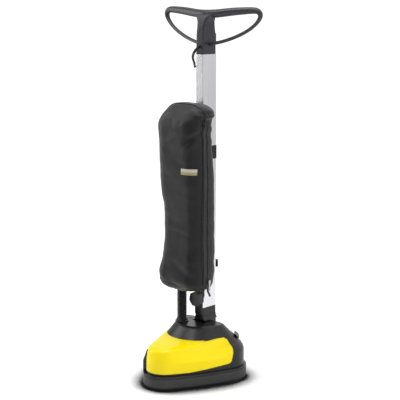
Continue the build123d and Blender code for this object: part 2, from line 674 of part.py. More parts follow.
def clamp_bolt():
    """Bolt moulded into the knob; it reaches through the tube and the plug into the nut."""
    y1 = TUBE_Y - TUBE_D / 2 - NECK_PLATE_T - CLEAR
    return along_y(BOLT_R, y1 - 14, TUBE_Y + TUBE_D / 2 - TUBE_WALL - 1.5, 0, KNOB_Z)


def smooth_stations(stations, steps):
    """More stations between the given ones, on a curve that passes through each of them."""
    smooth = []
    last = len(stations) - 1
    for i in range(last):
        before, here = stations[max(i - 1, 0)], stations[i]
        after, beyond = stations[i + 1], stations[min(i + 2, last)]
        for step in range(steps):
            t = step / steps
            smooth.append(tuple(
                b + 0.5 * t * (c - a + t * (2 * a - 5 * b + 4 * c - d + t * (3 * (b - c) + d - a)))
                for a, b, c, d in zip(before, here, after, beyond)))
    smooth.append(stations[last])
    return smooth


def wing_point(out, up):
    """Point on the wing's swept surface, which bends smoothly in the middle of the machine."""
    back = math.tan(math.radians(WING_SWEEP)) * (math.hypot(out, WING_BEND) - WING_BEND)
    return Vector(out, TUBE_Y + back, up)


def wing():
    """Right wing of the grip: a bar that turns down into a closed loop back to the stem."""
    half = GRIP_SPAN / 2
    top = GRIP_Z - GRIP_T / 2
    # middle line of the loop: (out, up, thickness in the loop's plane, depth fore and aft)
    stations = smooth_stations([
        (0.0, top, GRIP_T, 31.0),
        (30.0, top + 0.8, GRIP_T, 29.0),
        (60.0, top + 3.3, GRIP_T, 27.0),
        (95.0, top + 7.0, GRIP_T - 1.0, 25.5),
        (130.0, top + 9.6, GRIP_T - 3.0, 23.5),
        (half - 34.0, top + 11.0, GRIP_T - 5.0, 21.5),
        (half - 18.0, top + 9.5, GRIP_T - 7.0, 19.5),
        (half - 8.5, top + 3.0, GRIP_T - 9.5, 17.5),
        (half - 7.0, top - 6.5, LOOP_T + 2.8, 16.0),
        (half - 13.5, top - 19.0, LOOP_T + 1.0, 14.5),
        (half - 27.0, top - 32.5, LOOP_T, 13.5),
        (half - 47.0, top - 46.5, LOOP_T, 13.0),
        (half - 75.0, top - 60.5, LOOP_T, 13.0),
        (half - 108.0, top - 73.0, LOOP_T, 13.0),
        (half - 144.0, top - 83.0, LOOP_T, 13.0),
        (half - 180.0, top - 90.0, LOOP_T, 13.0),
    ], 3)
    faces = []
    for i, (out, up, thick, depth) in enumerate(stations):
        before, after = stations[max(i - 1, 0)], stations[min(i + 1, len(stations) - 1)]
        along = wing_point(*after[:2]) - wing_point(*before[:2])
        if i == 0:
            along = Vector(1, 0, 0)
        slope = math.tan(math.radians(WING_SWEEP)) * out / math.hypot(out, WING_BEND)
        plane = Plane(origin=wing_point(out, up), x_dir=(-slope, 1, 0), z_dir=along)
        faces.append(plane * Ellipse(depth / 2, thick / 2))
    return loft(faces)


def stem_form(grow):
    """Stem and flared head of the grip, grown outwards by an amount."""
    half_x, half_y = TUBE_X / 2 + grow, TUBE_D / 2 + grow
    flare_z = GRIP_Z - GRIP_T / 2 - STEM_FLARE
    stations = [(TUBE_Z1, half_x - 0.9, half_y - 1.2, 4.0), (flare_z - 26, half_x - 0.7, half_y - 2.0, 5.0)]
    depth_loss = {0: 5.0, 20: 7.0, 38: 9.5, 54: 12.0, 68: 14.0, 80: 15.5}
    for angle, loss in depth_loss.items():
        turn = math.radians(angle)
        out = STEM_FLARE * (1 - math.cos(turn))
        stations.append((flare_z + STEM_FLARE * math.sin(turn), half_x + out, half_y - loss, 7.0 + angle / 20))
    faces = [Pos(0, TUBE_Y, z) * RectangleRounded(2 * hx, 2 * hy, r) for z, hx, hy, r in stations]
    return loft(faces[:2], ruled=True) + loft(faces[1:], ruled=True)


def screw_places():
    """Side, fore-and-aft place and height of the grip's two side screws."""
    return [(hand, TUBE_Y + 19.0, TUBE_Z1 + 31.5) for hand in (-1, 1)]


def grip():
    """Closed-loop T handle: stem, flared head and two swept wings."""
    right = wing()
    body = stem_form(0) + right + mirror(right, about=Plane.YZ)
    plug_face = tube_section(TUBE_Z1, TUBE_WALL + 0.1, TUBE_CORNER - TUBE_WALL + 0.2)
    body += extrude(plug_face, -GRIP_PLUG)
    for hand, y, z in screw_places():
        body -= Pos(hand * (TUBE_X / 2 - 4.0), y, z) * (Rot(0, 90, 0) * Cylinder(SCREW_R, 8.0))
    return body


def grip_screws():
    """Two pan screws in the side of the grip."""
    screws = Part()
    for hand, y, z in screw_places():
        head = Pos(hand * (TUBE_X / 2 - 4.9), y, z) * (Rot(0, 90, 0) * Cylinder(SCREW_R, 6.2))
        slot = Pos(hand * (TUBE_X / 2 - 1.8), y, z) * Box(1.2, 0.8, 2 * SCREW_R)
        screws += head - slot
    return screws


def grip_cover():
    """Thin cover over the wiring at the rear of the stem."""
    rear = block(-COVER_HALF_X, COVER_HALF_X, TUBE_Y + 8, TUBE_Y + 60, TUBE_Z1 + 6, TUBE_Z1 + 92)
    return (stem_form(1.5) & rear) - stem_form(0)


def cord_inlet():
    """Moulded boss on the cover where the mains lead goes in."""
    rear = TUBE_Y + TUBE_D / 2
    boss = block(-8.5, 8.5, rear - 6, rear + 8.5, TUBE_Z1 + INLET_Z0, TUBE_Z1 + INLET_Z0 + 35)
    boss = fillet(boss.edges().filter_by(Axis.X), 5.0)
    boss = fillet(boss.faces().sort_by(Axis.Y)[-1].edges(), 3.0)
    boss -= stem_form(1.5)
    bore = Pos(0, rear + 4.0, TUBE_Z1 + INLET_Z0 - 1) * Cylinder(
        INLET_BORE_R, 22.0, align=(Align.CENTER, Align.CENTER, Align.MIN))
    return boss - bore


def cord_clip():
    """Springy clip that bows out in front of the stem and parks the plug."""
    front = TUBE_Y - TUBE_D / 2
    # outer face of the clip in the middle plane: (forward of the tube's front face, height)
    outer = [(-1.5, TUBE_Z1 + 27.0), (20.0, TUBE_Z1 + 13.5), (30.5, TUBE_Z1 - 6.5),
             (25.5, TUBE_Z1 - 21.5), (20.5, TUBE_Z1 - 38.5)]
    inner = [(18.0, TUBE_Z1 - 38.0), (21.5, TUBE_Z1 - 21.0), (26.0, TUBE_Z1 - 7.0),
             (16.5, TUBE_Z1 + 9.0), (-1.5, TUBE_Z1 + 20.0)]
    edges = [Spline(*[(front - out, z) for out, z in outer]),
             Line((front - outer[-1][0], outer[-1][1]), (front - inner[0][0], inner[0][1])),
             Spline(*[(front - out, z) for out, z in inner]),
             Line((front - inner[-1][0], inner[-1][1]), (front - outer[0][0], outer[0][1]))]
    profile = Plane.YZ * make_face(edges)
    clip = extrude(profile, CLIP_HALF_X, both=True)
    return clip - stem_form(0)


# ---------------------------------------------------------------- bag and hose
def bag_form(grow):
    """The bag's outer form, grown outwards by an amount; its right and rear flanks stay upright."""
    back = TUBE_Y - TUBE_D / 2 - BAG_BACK_GAP
    # height, inset of the right flank, half width, inset of the back, half depth, corner radius
    sections = [
        (BAG_Z0, 37.0, 66.0, 10.0, 44.0, 43.0),
        (BAG_Z0 + 13, 4.0, 88.0, 11.0, 50.0, 49.0),
        (BAG_Z0 + 26, 0.0, 93.0, 6.0, 53.0, 49.0),
        (BAG_Z0 + 42, 0.0, 95.0, 2.0, 54.5, 49.5),
        (BAG_Z0 + 64, 0.0, 94.3, 0.0, 54.5, 48.5),
        (BAG_Z0 + 90, 0.0, 92.0, 0.0, 53.0, 49.5),
        (BAG_Z0 + 140, 0.0, 87.6, 0.0, 51.0, 47.0),
        (BAG_Z0 + 240, 0.0, 87.0, 0.0, 50.5, 48.0),
        (BAG_Z0 + 290, 0.0, 90.0, 0.0, 52.0, 46.0),
        (BAG_Z0 + 339, 0.0, 91.4, 0.0, 54.0, 47.5),
        (BAG_Z1 - 182, 0.0, 92.0, 3.0, 54.0, 49.0),
        (BAG_Z1 - 127, 3.0, 91.0, 6.0, 54.0, 51.5),
        (BAG_Z1 - 67, 4.0, 91.2, 7.0, 54.5, 52.0),
        (BAG_Z1 - 54, 4.0, 90.2, 6.0, 54.0, 50.0),
        (BAG_Z1 - 42, 2.0, 90.0, 3.0, 52.0, 47.5),
        (BAG_Z1 - 30, 0.0, 88.0, 3.0, 49.0, 47.0),
        (BAG_Z1 - 18, 3.0, 79.3, 5.0, 45.0, 44.0),
        (BAG_Z1 - 9, 21.0, 62.5, 12.0, 36.0, 35.0),
        (BAG_Z1, 44.0, 45.0, 26.0, 22.0, 20.0),
    ]
    faces = []
    for z, inset, half_x, inset_y, half_y, corner in sections:
        height = z
        if z == BAG_Z0:
            height = z - grow
        if z == BAG_Z1:
            height = z + grow
        face = RectangleRounded(2 * (half_x + grow), 2 * (half_y + grow), corner + grow)
        faces.append(Pos(BAG_RIGHT_X - inset - half_x, back - inset_y - half_y, height) * face)
    return loft(faces, ruled=True)


def bag():
    """Cloth dust bag as a plain hollow shell with a round mouth below."""
    return (bag_form(0) - bag_form(-BAG_WALL)) - disc(COLLAR_R, 30, HOSE_X, HOSE_Y, BAG_Z0 - 10)


def filter_bag():
    """Paper bag that hangs inside the cloth bag, on the same collar."""
    outer = -BAG_WALL - FILTER_GAP
    paper = bag_form(outer) - bag_form(outer - FILTER_T)
    return paper - disc(COLLAR_R, 30, HOSE_X, HOSE_Y, BAG_Z0 - 10)


def bag_collar():
    """Turned ring in the bag's mouth, with a seat for the hose and a seat for the paper bag."""
    top = BAG_Z0 + BAG_WALL + FILTER_GAP + FILTER_T + 3
    seat = BAG_Z0 - 2 + HOSE_SEAT
    profile = [(HOSE_R + CLEAR, BAG_Z0 - 2), (COLLAR_R + 4, BAG_Z0 - 2), (COLLAR_R + 4, BAG_Z0),
               (COLLAR_R, BAG_Z0), (COLLAR_R, top), (SOCKET_BORE_R, top), (SOCKET_BORE_R, seat),
               (HOSE_R + CLEAR, seat)]
    face = Plane.XZ * make_face(Polyline(*profile, close=True))
    return Pos(HOSE_X, HOSE_Y, 0) * revolve(face, Axis.Z)


def suction_hose():
    """Ribbed hose between the dome's socket and the bag's collar."""
    low = SOCKET_Z1 - HOSE_SEAT
    high = BAG_Z0 - 2 + HOSE_SEAT - CLEAR
    first = SOCKET_Z1 + 1
    ribs = int((BAG_Z0 - 3 - first) / HOSE_PITCH)
    profile = [(HOSE_BORE_R, low), (HOSE_R, low), (HOSE_R, first)]
    for rib in range(ribs):
        z = first + rib * HOSE_PITCH
        profile += [(HOSE_R - HOSE_RIB, z + 0.25 * HOSE_PITCH), (HOSE_R - HOSE_RIB, z + 0.45 * HOSE_PITCH),
                    (HOSE_R, z + 0.7 * HOSE_PITCH), (HOSE_R, z + HOSE_PITCH)]
    profile += [(HOSE_R, high), (HOSE_BORE_R, high)]
    face = Plane.XZ * make_face(Polyline(*profile, close=True))
    return Pos(HOSE_X, HOSE_Y, 0) * revolve(face, Axis.Z)


def skin_patch(gap, thickness, x0, x1, y0, y1, z0, z1):
    """Piece of the bag's outer skin, standing off by a gap, inside the given limits."""
    skin = bag_form(gap + thickness) - bag_form(gap)
    return skin & block(x0, x1, y0, y1, z0, z1)


def zip_tape():
    """Zip along the upright right flank of the bag."""
    return skin_patch(0.0, ZIP_T, 60.0, 130.0, -62.0, -32.0, ZIP_Z0, ZIP_Z1)


def zip_slider():
    """Slider and pull of the zip, at its lowest place when the bag is shut."""
    x0 = BAG_RIGHT_X + ZIP_T + CLEAR
    body = block(x0, x0 + 4.0, ZIP_Y - 4.0, ZIP_Y + 4.0, ZIP_SLIDER_Z, ZIP_SLIDER_Z + 12.0)
    body = fillet(body.edges().filter_by(Axis.X), 2.5)
    pull = block(x0 + 2.0, x0 + 4.0, ZIP_Y - 2.5, ZIP_Y + 2.5, ZIP_SLIDER_Z - 20.0, ZIP_SLIDER_Z + 6.0)
    pull = fillet(pull.edges().filter_by(Axis.X), 2.0)
    return body + pull


def bag_label():
    """Blank plate sewn on the front of the bag."""
    return skin_patch(0.0, 0.8, LABEL_X0, LABEL_X1, -130.0, -47.0, LABEL_Z, LABEL_Z + 18.0)


def bag_clamp():
    """Band round the tube with the tongue that the bag's rear loop hangs on."""
    z0, z1 = CLAMP_Z, CLAMP_Z + 41.0
    band_ = extrude(tube_section(z0, -1.5, TUBE_CORNER + 1), z1 - z0)
    band_ -= extrude(tube_section(z0, 0, TUBE_CORNER), z1 - z0)
    band_ += block(-9.0, 9.0, BAG_Y + 20, TUBE_Y - TUBE_D / 2 - 0.5, z0 + 8, z1 - 8) - bag_form(CLEAR)
    return band_


def cord_hook():
    """Hook behind the tube for the wound lead."""
    rear = TUBE_Y + TUBE_D / 2
    hook = block(-9.0, 9.0, rear, rear + 4.0, HOOK_Z, HOOK_Z + 39.0)
    hook += block(-9.0, 9.0, rear, rear + 18.0, HOOK_Z + 24.0, HOOK_Z + 29.0)
    hook += block(-9.0, 9.0, rear + 14.0, rear + 18.0, HOOK_Z + 4.0, HOOK_Z + 29.0)
    return fillet(hook.edges().filter_by(Axis.Y), 2.0)


def main():
    """Build every sub-part and write one STEP each."""
    os.makedirs("parts", exist_ok=True)
    nodes["base_plate"] = base_plate()
    nodes["bumper"] = bumper()
    nodes["belt_cover"] = belt_cover()
    nodes["hood"] = hood()
    nodes["side_guard"] = side_guard()
    nodes["rear_cover"] = rear_cover()
    nodes["top_cover"] = top_cover()
    nodes["hose_socket"] = hose_socket()
    for level, side in enumerate(SIDES):
        pad, holder, spindle, pulley = disc_assembly(side, level)
        nodes[f"polishing_pad_{side}"] = pad
        nodes[f"pad_holder_{side}"] = holder
        nodes[f"spindle_{side}"] = spindle
        nodes[f"disc_pulley_{side}"] = pulley
        nodes[f"drive_belt_{side}"] = belt(side, level)
    nodes["spindle_bearings"] = spindle_bearings()
    nodes["motor_case"] = motor_case()
    nodes["motor_bearings"] = motor_bearings()
    nodes["stator"] = stator()
    nodes["rotor"] = rotor()
    nodes["drive_pulley"] = drive_pulley()
    nodes["fan_wheel"] = fan_wheel()
    nodes["fan_case"] = fan_case()
    nodes["hinge_bracket"] = hinge_bracket()
    nodes["hinge_pin"] = hinge_pin()
    nodes["power_pedal"] = pedal(1)
    nodes["release_pedal"] = pedal(-1)
    nodes["neck"] = neck()
    nodes["tube"] = tube()
    nodes["clamp_nut"] = clamp_nut()
    nodes["clamp_knob"] = clamp_knob()
    nodes["clamp_bolt"] = clamp_bolt()
    nodes["grip"] = grip()
    nodes["grip_screws"] = grip_screws()
    nodes["grip_cover"] = grip_cover()
    nodes["cord_inlet"] = cord_inlet()
    nodes["cord_clip"] = cord_clip()
    nodes["bag_clamp"] = bag_clamp()
    nodes["cord_hook"] = cord_hook()
    nodes["foot_switch"] = foot_switch()
    nodes["bag"] = bag()
    nodes["filter_bag"] = filter_bag()
    nodes["bag_collar"] = bag_collar()
    nodes["suction_hose"] = suction_hose()
    nodes["zip_tape"] = zip_tape()
    nodes["zip_slider"] = zip_slider()
    nodes["bag_label"] = bag_label()
    for name, shape in nodes.items():
        shape = Pos(0, SHIFT_Y, 0) * shape
        export_step(shape, f"parts/{name}.step")
        print(name, round(shape.volume), [round(v, 1) for v in shape.bounding_box().size])


main()
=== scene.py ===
# %% [markdown]
# # An upright floor polisher
#
# The machine has a low triangular head with a gloss yellow hood, three polishing discs under it,
# a square aluminium tube with a closed grip, and a cloth dust bag fed by a ribbed hose. Its solid
# parts come from a CAD model that is loaded as a fixed frame. This notebook gives every part its
# finish, and replaces the soft parts, which CAD holds only as plain solids, with modelled ones.

# %% Load the frame
import json
import math

import bpy
import numpy as np
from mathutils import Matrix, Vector, noise
from mathutils.bvhtree import BVHTree


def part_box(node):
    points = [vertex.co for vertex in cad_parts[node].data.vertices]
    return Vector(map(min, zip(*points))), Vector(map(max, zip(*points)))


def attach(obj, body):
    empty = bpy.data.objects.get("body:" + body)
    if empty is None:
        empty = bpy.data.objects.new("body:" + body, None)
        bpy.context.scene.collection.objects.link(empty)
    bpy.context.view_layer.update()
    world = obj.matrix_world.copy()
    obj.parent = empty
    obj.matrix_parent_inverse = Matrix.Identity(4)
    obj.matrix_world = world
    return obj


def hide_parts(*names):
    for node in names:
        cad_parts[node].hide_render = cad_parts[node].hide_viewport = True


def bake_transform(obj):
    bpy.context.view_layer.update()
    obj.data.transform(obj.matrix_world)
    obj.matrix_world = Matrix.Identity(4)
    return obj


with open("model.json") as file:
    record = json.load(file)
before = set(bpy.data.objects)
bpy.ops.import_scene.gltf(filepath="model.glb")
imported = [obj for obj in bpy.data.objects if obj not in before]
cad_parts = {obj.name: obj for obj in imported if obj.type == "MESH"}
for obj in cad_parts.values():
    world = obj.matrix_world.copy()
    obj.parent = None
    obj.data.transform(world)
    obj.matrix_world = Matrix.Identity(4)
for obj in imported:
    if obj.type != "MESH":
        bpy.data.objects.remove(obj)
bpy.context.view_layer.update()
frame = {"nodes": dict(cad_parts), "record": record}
cad_nodes = frame["nodes"]

# %% [markdown]
# ## Camera
#
# A catalogue view of a tall machine needs upright lines that stay nearly parallel. A wide lens close
# by would make the head look large and the grip small, so the camera has a long lens and stands 3.4 m
# away. It is just above the grip's height, to the right of the nose, and looks down a little. A small
# horizontal shift slides the machine left in the frame without turning the camera.

# %% Camera
CAMERA_PLACE = (2.351, -2.481, 1.1825)
CAMERA_TURN = 42.97       # degrees round the machine, from straight in front of the nose
CAMERA_DIP = 10.294       # degrees below the horizon
CAMERA_LENS = 103.2       # focal length in millimetres, on a sensor 36 mm wide
CAMERA_SHIFT = 0.0112     # share of the frame's width by which the view slides to the right

camera_data = bpy.data.cameras.new("camera")
camera_data.sensor_width = 36.0
camera_data.lens = CAMERA_LENS
camera_data.shift_x = CAMERA_SHIFT
camera_data.clip_end = 400.0  # metres, beyond the edge of the floor
camera = bpy.data.objects.new("camera", camera_data)
camera.location = CAMERA_PLACE
camera.rotation_euler = (math.radians(90 - CAMERA_DIP), 0, math.radians(CAMERA_TURN))
bpy.context.scene.collection.objects.link(camera)
bpy.context.scene.camera = camera
bpy.context.scene.view_settings.view_transform = "Standard"
print("lens", camera_data.lens, "mm")

# %% [markdown]
# ## Node helpers
#
# A material is a small graph. Writing `nodes.new` and `links.new` for each step hides what the
# graph does, so helpers do it. `add` places any node and fills or links its inputs by name. The
# others return a result that can be passed straight on: `maths` calculates, `remap` stretches one
# range to another, `colour_mix` blends two colours by a mask, and `use_group` places a shared group.


# %% Helpers that build node graphs
def add(tree, kind, inputs=None, **settings):
    """Add a shader node; inputs are plain values, or outputs of other nodes to link."""
    node = tree.nodes.new("ShaderNode" + kind)
    for name, value in settings.items():
        setattr(node, name, value)
    for name, value in (inputs or {}).items():
        if isinstance(value, bpy.types.NodeSocket):
            tree.links.new(value, node.inputs[name])
        else:
            node.inputs[name].default_value = value
    return node


def maths(tree, operation, *values, clamp=False):
    """Add a Math node on up to three values or outputs and return its output."""
    node = add(tree, "Math", dict(enumerate(values)), operation=operation, use_clamp=clamp)
    return node.outputs[0]


def remap(tree, value, low, high, to_low=0.0, to_high=1.0):
    """Map a range of values to another one, clamped at both ends."""
    limits = {"Value": value, "From Min": low, "From Max": high, "To Min": to_low, "To Max": to_high}
    return add(tree, "MapRange", limits, clamp=True).outputs[0]


def colour_mix(tree, factor, first, second, blend="MIX"):
    """Blend two colours by a mask and return the result."""
    node = add(tree, "Mix", data_type="RGBA", blend_type=blend)
    for index, value in ((0, factor), (6, first), (7, second)):
        if isinstance(value, bpy.types.NodeSocket):
            tree.links.new(value, node.inputs[index])
        else:
            node.inputs[index].default_value = value
    return node.outputs[2]


def colour(red, green, blue):
    """A colour as seen on a screen, 0 to 255, as the linear values that Blender works in."""
    shares = [v / 255 for v in (red, green, blue)]
    return (*(v / 12.92 if v <= 0.04045 else ((v + 0.055) / 1.055) ** 2.4 for v in shares), 1.0)


def new_group(name, inputs, outputs):
    """A node group with named sockets; returns the group, its input node and its output node."""
    group = bpy.data.node_groups.new(name, "ShaderNodeTree")
    for title, kind, value in inputs:
        socket = group.interface.new_socket(name=title, in_out="INPUT", socket_type="NodeSocket" + kind)
        if value is not None:
            socket.default_value = value
    for title, kind in outputs:
        group.interface.new_socket(name=title, in_out="OUTPUT", socket_type="NodeSocket" + kind)
    return group, group.nodes.new("NodeGroupInput").outputs, group.nodes.new("NodeGroupOutput").inputs


def use_group(tree, group, **values):
    """Place a group in a material; underscores in the names stand for spaces."""
    node = tree.nodes.new("ShaderNodeGroup")
    node.node_tree = group
    for name, value in values.items():
        socket = node.inputs[name.replace("_", " ")]
        if isinstance(value, bpy.types.NodeSocket):
            tree.links.new(value, socket)
        else:
            socket.default_value = value
    return node.outputs


def new_material(name):
    """An empty material with its Principled shader; returns the material, tree, shader and place."""
    material = bpy.data.materials.new(name)
    material.use_nodes = True
    tree = material.node_tree
    shader = tree.nodes["Principled BSDF"]
    place = add(tree, "TexCoord").outputs["Object"]
    return material, tree, shader, place


def connect(tree, source, shader, name):
    """Link an output to one of the shader's inputs."""
    tree.links.new(source, shader.inputs[name])


# %% [markdown]
# ## Studio
#
# The machine stands on a white sweep, a sheet of paper that rolls up behind it without an edge. A
# curved wall would do that too, but a world that is white wherever the camera looks past the machine
# is simpler and never shows a corner. It lights the machine itself more gently. Glossy parts need
# something to reflect: the sweep behind the machine is bright and the room on the camera's side is
# darker, so the world fades from one to the other by direction.


# %% World
ROOM_SIDE = (-0.52, -0.82, 0.12)  # direction of the darkest part of the room, nearly unit length
SWEEP_LEVEL = 1.0                 # how bright the sweep behind the machine is in reflections
ROOM_LEVEL = 0.08                 # how bright the room on the camera's side is in reflections
WORLD_FILL = 0.55                 # how strongly the world lights matt surfaces
WHITE = (1, 1, 1, 1)


def build_world():
    """White for the camera, a soft front-to-back gradient for reflections, an even fill otherwise."""
    world = bpy.data.worlds.new("studio")
    world.use_nodes = True
    tree = world.node_tree
    tree.nodes.clear()
    direction = add(tree, "TexCoord").outputs["Generated"]
    toward = add(tree, "VectorMath", {0: direction, 1: ROOM_SIDE}, operation="DOT_PRODUCT").outputs["Value"]
    gradient = remap(tree, toward, -0.2, 0.6, SWEEP_LEVEL, ROOM_LEVEL)
    rays = add(tree, "LightPath").outputs
    mirror = maths(tree, "MAXIMUM", rays["Is Glossy Ray"], rays["Is Transmission Ray"])
    level = add(tree, "Mix", {0: mirror, 2: WORLD_FILL, 3: gradient}, data_type="FLOAT").outputs[0]
    level = add(tree, "Mix", {0: rays["Is Camera Ray"], 2: level, 3: 1.0}, data_type="FLOAT").outputs[0]
    background = add(tree, "Background", {"Color": WHITE, "Strength": level})
    output = add(tree, "OutputWorld")
    tree.links.new(background.outputs[0], output.inputs[0])
    bpy.context.scene.world = world
    return world


print("world:", build_world().name)

# %% [markdown]
# ## Floor
#
# The floor is the near part of the sweep. A plain white floor turns grey under the lamps and shows
# where it ends, so it adds a little light of its own for the camera, more of it further away, until
# it meets the white of the world. What grounds the machine is the soft dark line where it touches
# the floor. Ambient occlusion finds that place: it measures how much open sky a point sees.


# %% Floor
FLOOR_HALF = 160.0          # half the width of the floor, in metres
FLOOR_WHITE = 0.86          # how much light the floor gives back
FLOOR_GLOW = (0.34, 0.66)   # light that the floor adds for the camera, near the machine and far off
GLOW_REACH = (0.5, 1.6)     # distances from the machine's middle that those two belong to, in metres
SHADOW_REACH = 0.11         # how far the soft contact shadow spreads, in metres
SHADOW_SKY = (0.64, 0.84)   # share of open sky at which the shadow is darkest, and at which it ends


def floor_material():
    """White floor that darkens where the machine keeps light off it, and meets the white beyond."""
    material, tree, shader, place = new_material("studio_floor")
    open_sky = add(tree, "AmbientOcclusion", {"Distance": SHADOW_REACH}, samples=8).outputs["AO"]
    shade = remap(tree, open_sky, *SHADOW_SKY, 0.02, 1.0)
    grey = maths(tree, "MULTIPLY", shade, FLOOR_WHITE)
    base = add(tree, "CombineColor", {"Red": grey, "Green": grey, "Blue": grey})
    connect(tree, base.outputs[0], shader, "Base Color")
    shader.inputs["Roughness"].default_value = 0.9
    shader.inputs["Specular IOR Level"].default_value = 0.0
    away = add(tree, "VectorMath", {0: place}, operation="LENGTH").outputs["Value"]
    glow = remap(tree, away, *GLOW_REACH, *FLOOR_GLOW)
    seen = maths(tree, "MULTIPLY", add(tree, "LightPath").outputs["Is Camera Ray"], shade)
    strength = maths(tree, "MULTIPLY", seen, glow)
    light = add(tree, "Emission", {"Color": WHITE, "Strength": strength})
    both = add(tree, "AddShader", {0: shader.outputs[0], 1: light.outputs[0]})
    tree.links.new(both.outputs[0], tree.nodes["Material Output"].inputs["Surface"])
    return material


floor_corners = [(x * FLOOR_HALF, y * FLOOR_HALF, 0) for x, y in ((-1, -1), (1, -1), (1, 1), (-1, 1))]
floor_mesh = bpy.data.meshes.new("floor")
floor_mesh.from_pydata(floor_corners, [], [(0, 1, 2, 3)])
floor_mesh.materials.append(floor_material())
floor = bpy.data.objects.new("floor", floor_mesh)
bpy.context.scene.collection.objects.link(floor)
print("floor half width", FLOOR_HALF, "m")

# %% [markdown]
# ## Lamps
#
# Small lamps would make hard, bright dots on gloss plastic. Three large area lamps make broad, soft
# highlights instead, as soft boxes do: one overhead, one at the left that draws a line of light down
# the nose, and one at the right that lights the flanks. The right one would show as a white patch in
# the dome, so it is hidden from reflections.


# %% Lamps
def soft_box(name, place, aim, width, height, power):
    """A rectangular area lamp at one point that faces another."""
    data = bpy.data.lights.new(name, "AREA")
    data.shape = "RECTANGLE"
    data.size, data.size_y = width, height
    data.energy = power
    lamp = bpy.data.objects.new(name, data)
    lamp.location = place
    lamp.rotation_euler = (Vector(aim) - Vector(place)).to_track_quat("-Z", "Y").to_euler()
    bpy.context.scene.collection.objects.link(lamp)
    return lamp


soft_box("top_box", (-0.3, -0.6, 2.7), (0, 0, 0.3), 1.8, 1.8, 34)
soft_box("left_box", (-2.0, -0.9, 1.3), (0, 0, 0.4), 1.0, 2.0, 22)
right_box = soft_box("right_box", (2.3, 0.6, 0.9), (0, 0, 0.5), 1.2, 1.6, 24)
right_box.visible_glossy = False

# %% [markdown]
# ## Shared surface effects
#
# Moulded plastic, cast metal and cloth all need fine relief, and all of them show wear and dust in
# the same way. Painting that on by hand would need an unwrapped mesh for every part, so noise in
# space does it instead. Each effect is a node group, built once, and a material says only how much
# it wants of it. The groups return masks and heights; the shader itself stays in the material.
#
# The first group finds edges. A part that is handled loses its colour there first, and a rounded edge
# catches a thin line of light, so the mask carries both wear and a painted highlight. It compares the
# true surface direction with a smoothed one, which differ only near an edge.


# %% Group: rubbed edges
def build_wear_highlight_group():
    """Mask that is 1 on convex and concave edges, broken up by noise."""
    # the mask serves edge wear and a painted highlight along the edges
    group, given, result = new_group(
        "edge wear and painted highlights",
        [("Place", "Vector", None), ("Width", "Float", 0.001), ("Patch", "Float", 0.02)],
        [("Mask", "Float")])
    smooth = add(group, "Bevel", {"Radius": given["Width"]}, samples=4).outputs["Normal"]
    true = add(group, "NewGeometry").outputs["Normal"]
    agree = add(group, "VectorMath", {0: smooth, 1: true}, operation="DOT_PRODUCT").outputs["Value"]
    edge = remap(group, agree, 0.98, 0.8)
    scale = maths(group, "DIVIDE", 1.0, given["Patch"])
    cloud = add(group, "TexNoise", {"Vector": given["Place"], "Scale": scale, "Detail": 3.0}).outputs["Fac"]
    broken = maths(group, "MULTIPLY", edge, remap(group, cloud, 0.35, 0.7))
    group.links.new(broken, result["Mask"])
    return group


wear_highlight_group = build_wear_highlight_group()
print("group:", wear_highlight_group.name)

# %% [markdown]
# A steel mould is etched or spark-eroded, and the plastic takes over its skin: small rounded pebbles.
# A Voronoi pattern gives the pebbles, and a coarser noise keeps them from looking regular.


# %% Group: moulded grain
def build_grain_group():
    """Leathery height of an eroded mould: small pebbles on a coarser, uneven ground."""
    group, given, result = new_group(
        "moulded grain", [("Place", "Vector", None), ("Size", "Float", 0.0008)], [("Height", "Float")])
    scale = maths(group, "DIVIDE", 1.0, given["Size"])
    pebbles = add(group, "TexVoronoi", {"Vector": given["Place"], "Scale": scale},
                  feature="SMOOTH_F1").outputs["Distance"]
    coarse = {"Vector": given["Place"], "Scale": maths(group, "MULTIPLY", scale, 0.4), "Detail": 4.0}
    cloud = add(group, "TexNoise", coarse).outputs["Fac"]
    height = maths(group, "SUBTRACT", cloud, maths(group, "MULTIPLY", pebbles, 0.5))
    group.links.new(height, result["Height"])
    return group


grain_group = build_grain_group()
print("group:", grain_group.name)

# %% [markdown]
# Hands and rags leave a surface slightly uneven in gloss, which is seen only in its reflections. The
# mask is a large, soft cloud that a material uses to vary its roughness.


# %% Group: handling marks
def build_marks_group():
    """Cloudy mask of wiped and handled patches, a little distorted so that they look smeared."""
    group, given, result = new_group(
        "handling marks",
        [("Place", "Vector", None), ("Patch", "Float", 0.06), ("Contrast", "Float", 0.5)],
        [("Mask", "Float")])
    scale = maths(group, "DIVIDE", 1.0, given["Patch"])
    cloud = add(group, "TexNoise", {"Vector": given["Place"], "Scale": scale, "Detail": 5.0,
                                    "Roughness": 0.62, "Distortion": 0.6}).outputs["Fac"]
    half = maths(group, "MULTIPLY", given["Contrast"], 0.5)
    mask = remap(group, cloud, maths(group, "SUBTRACT", 0.75, half), maths(group, "ADD", 0.25, half))
    group.links.new(mask, result["Mask"])
    return group


marks_group = build_marks_group()
print("group:", marks_group.name)

# %% [markdown]
# Dust settles on faces that look up and gathers in clouds. The surface direction says which faces
# those are, and two noises break the layer up into clouds and specks.


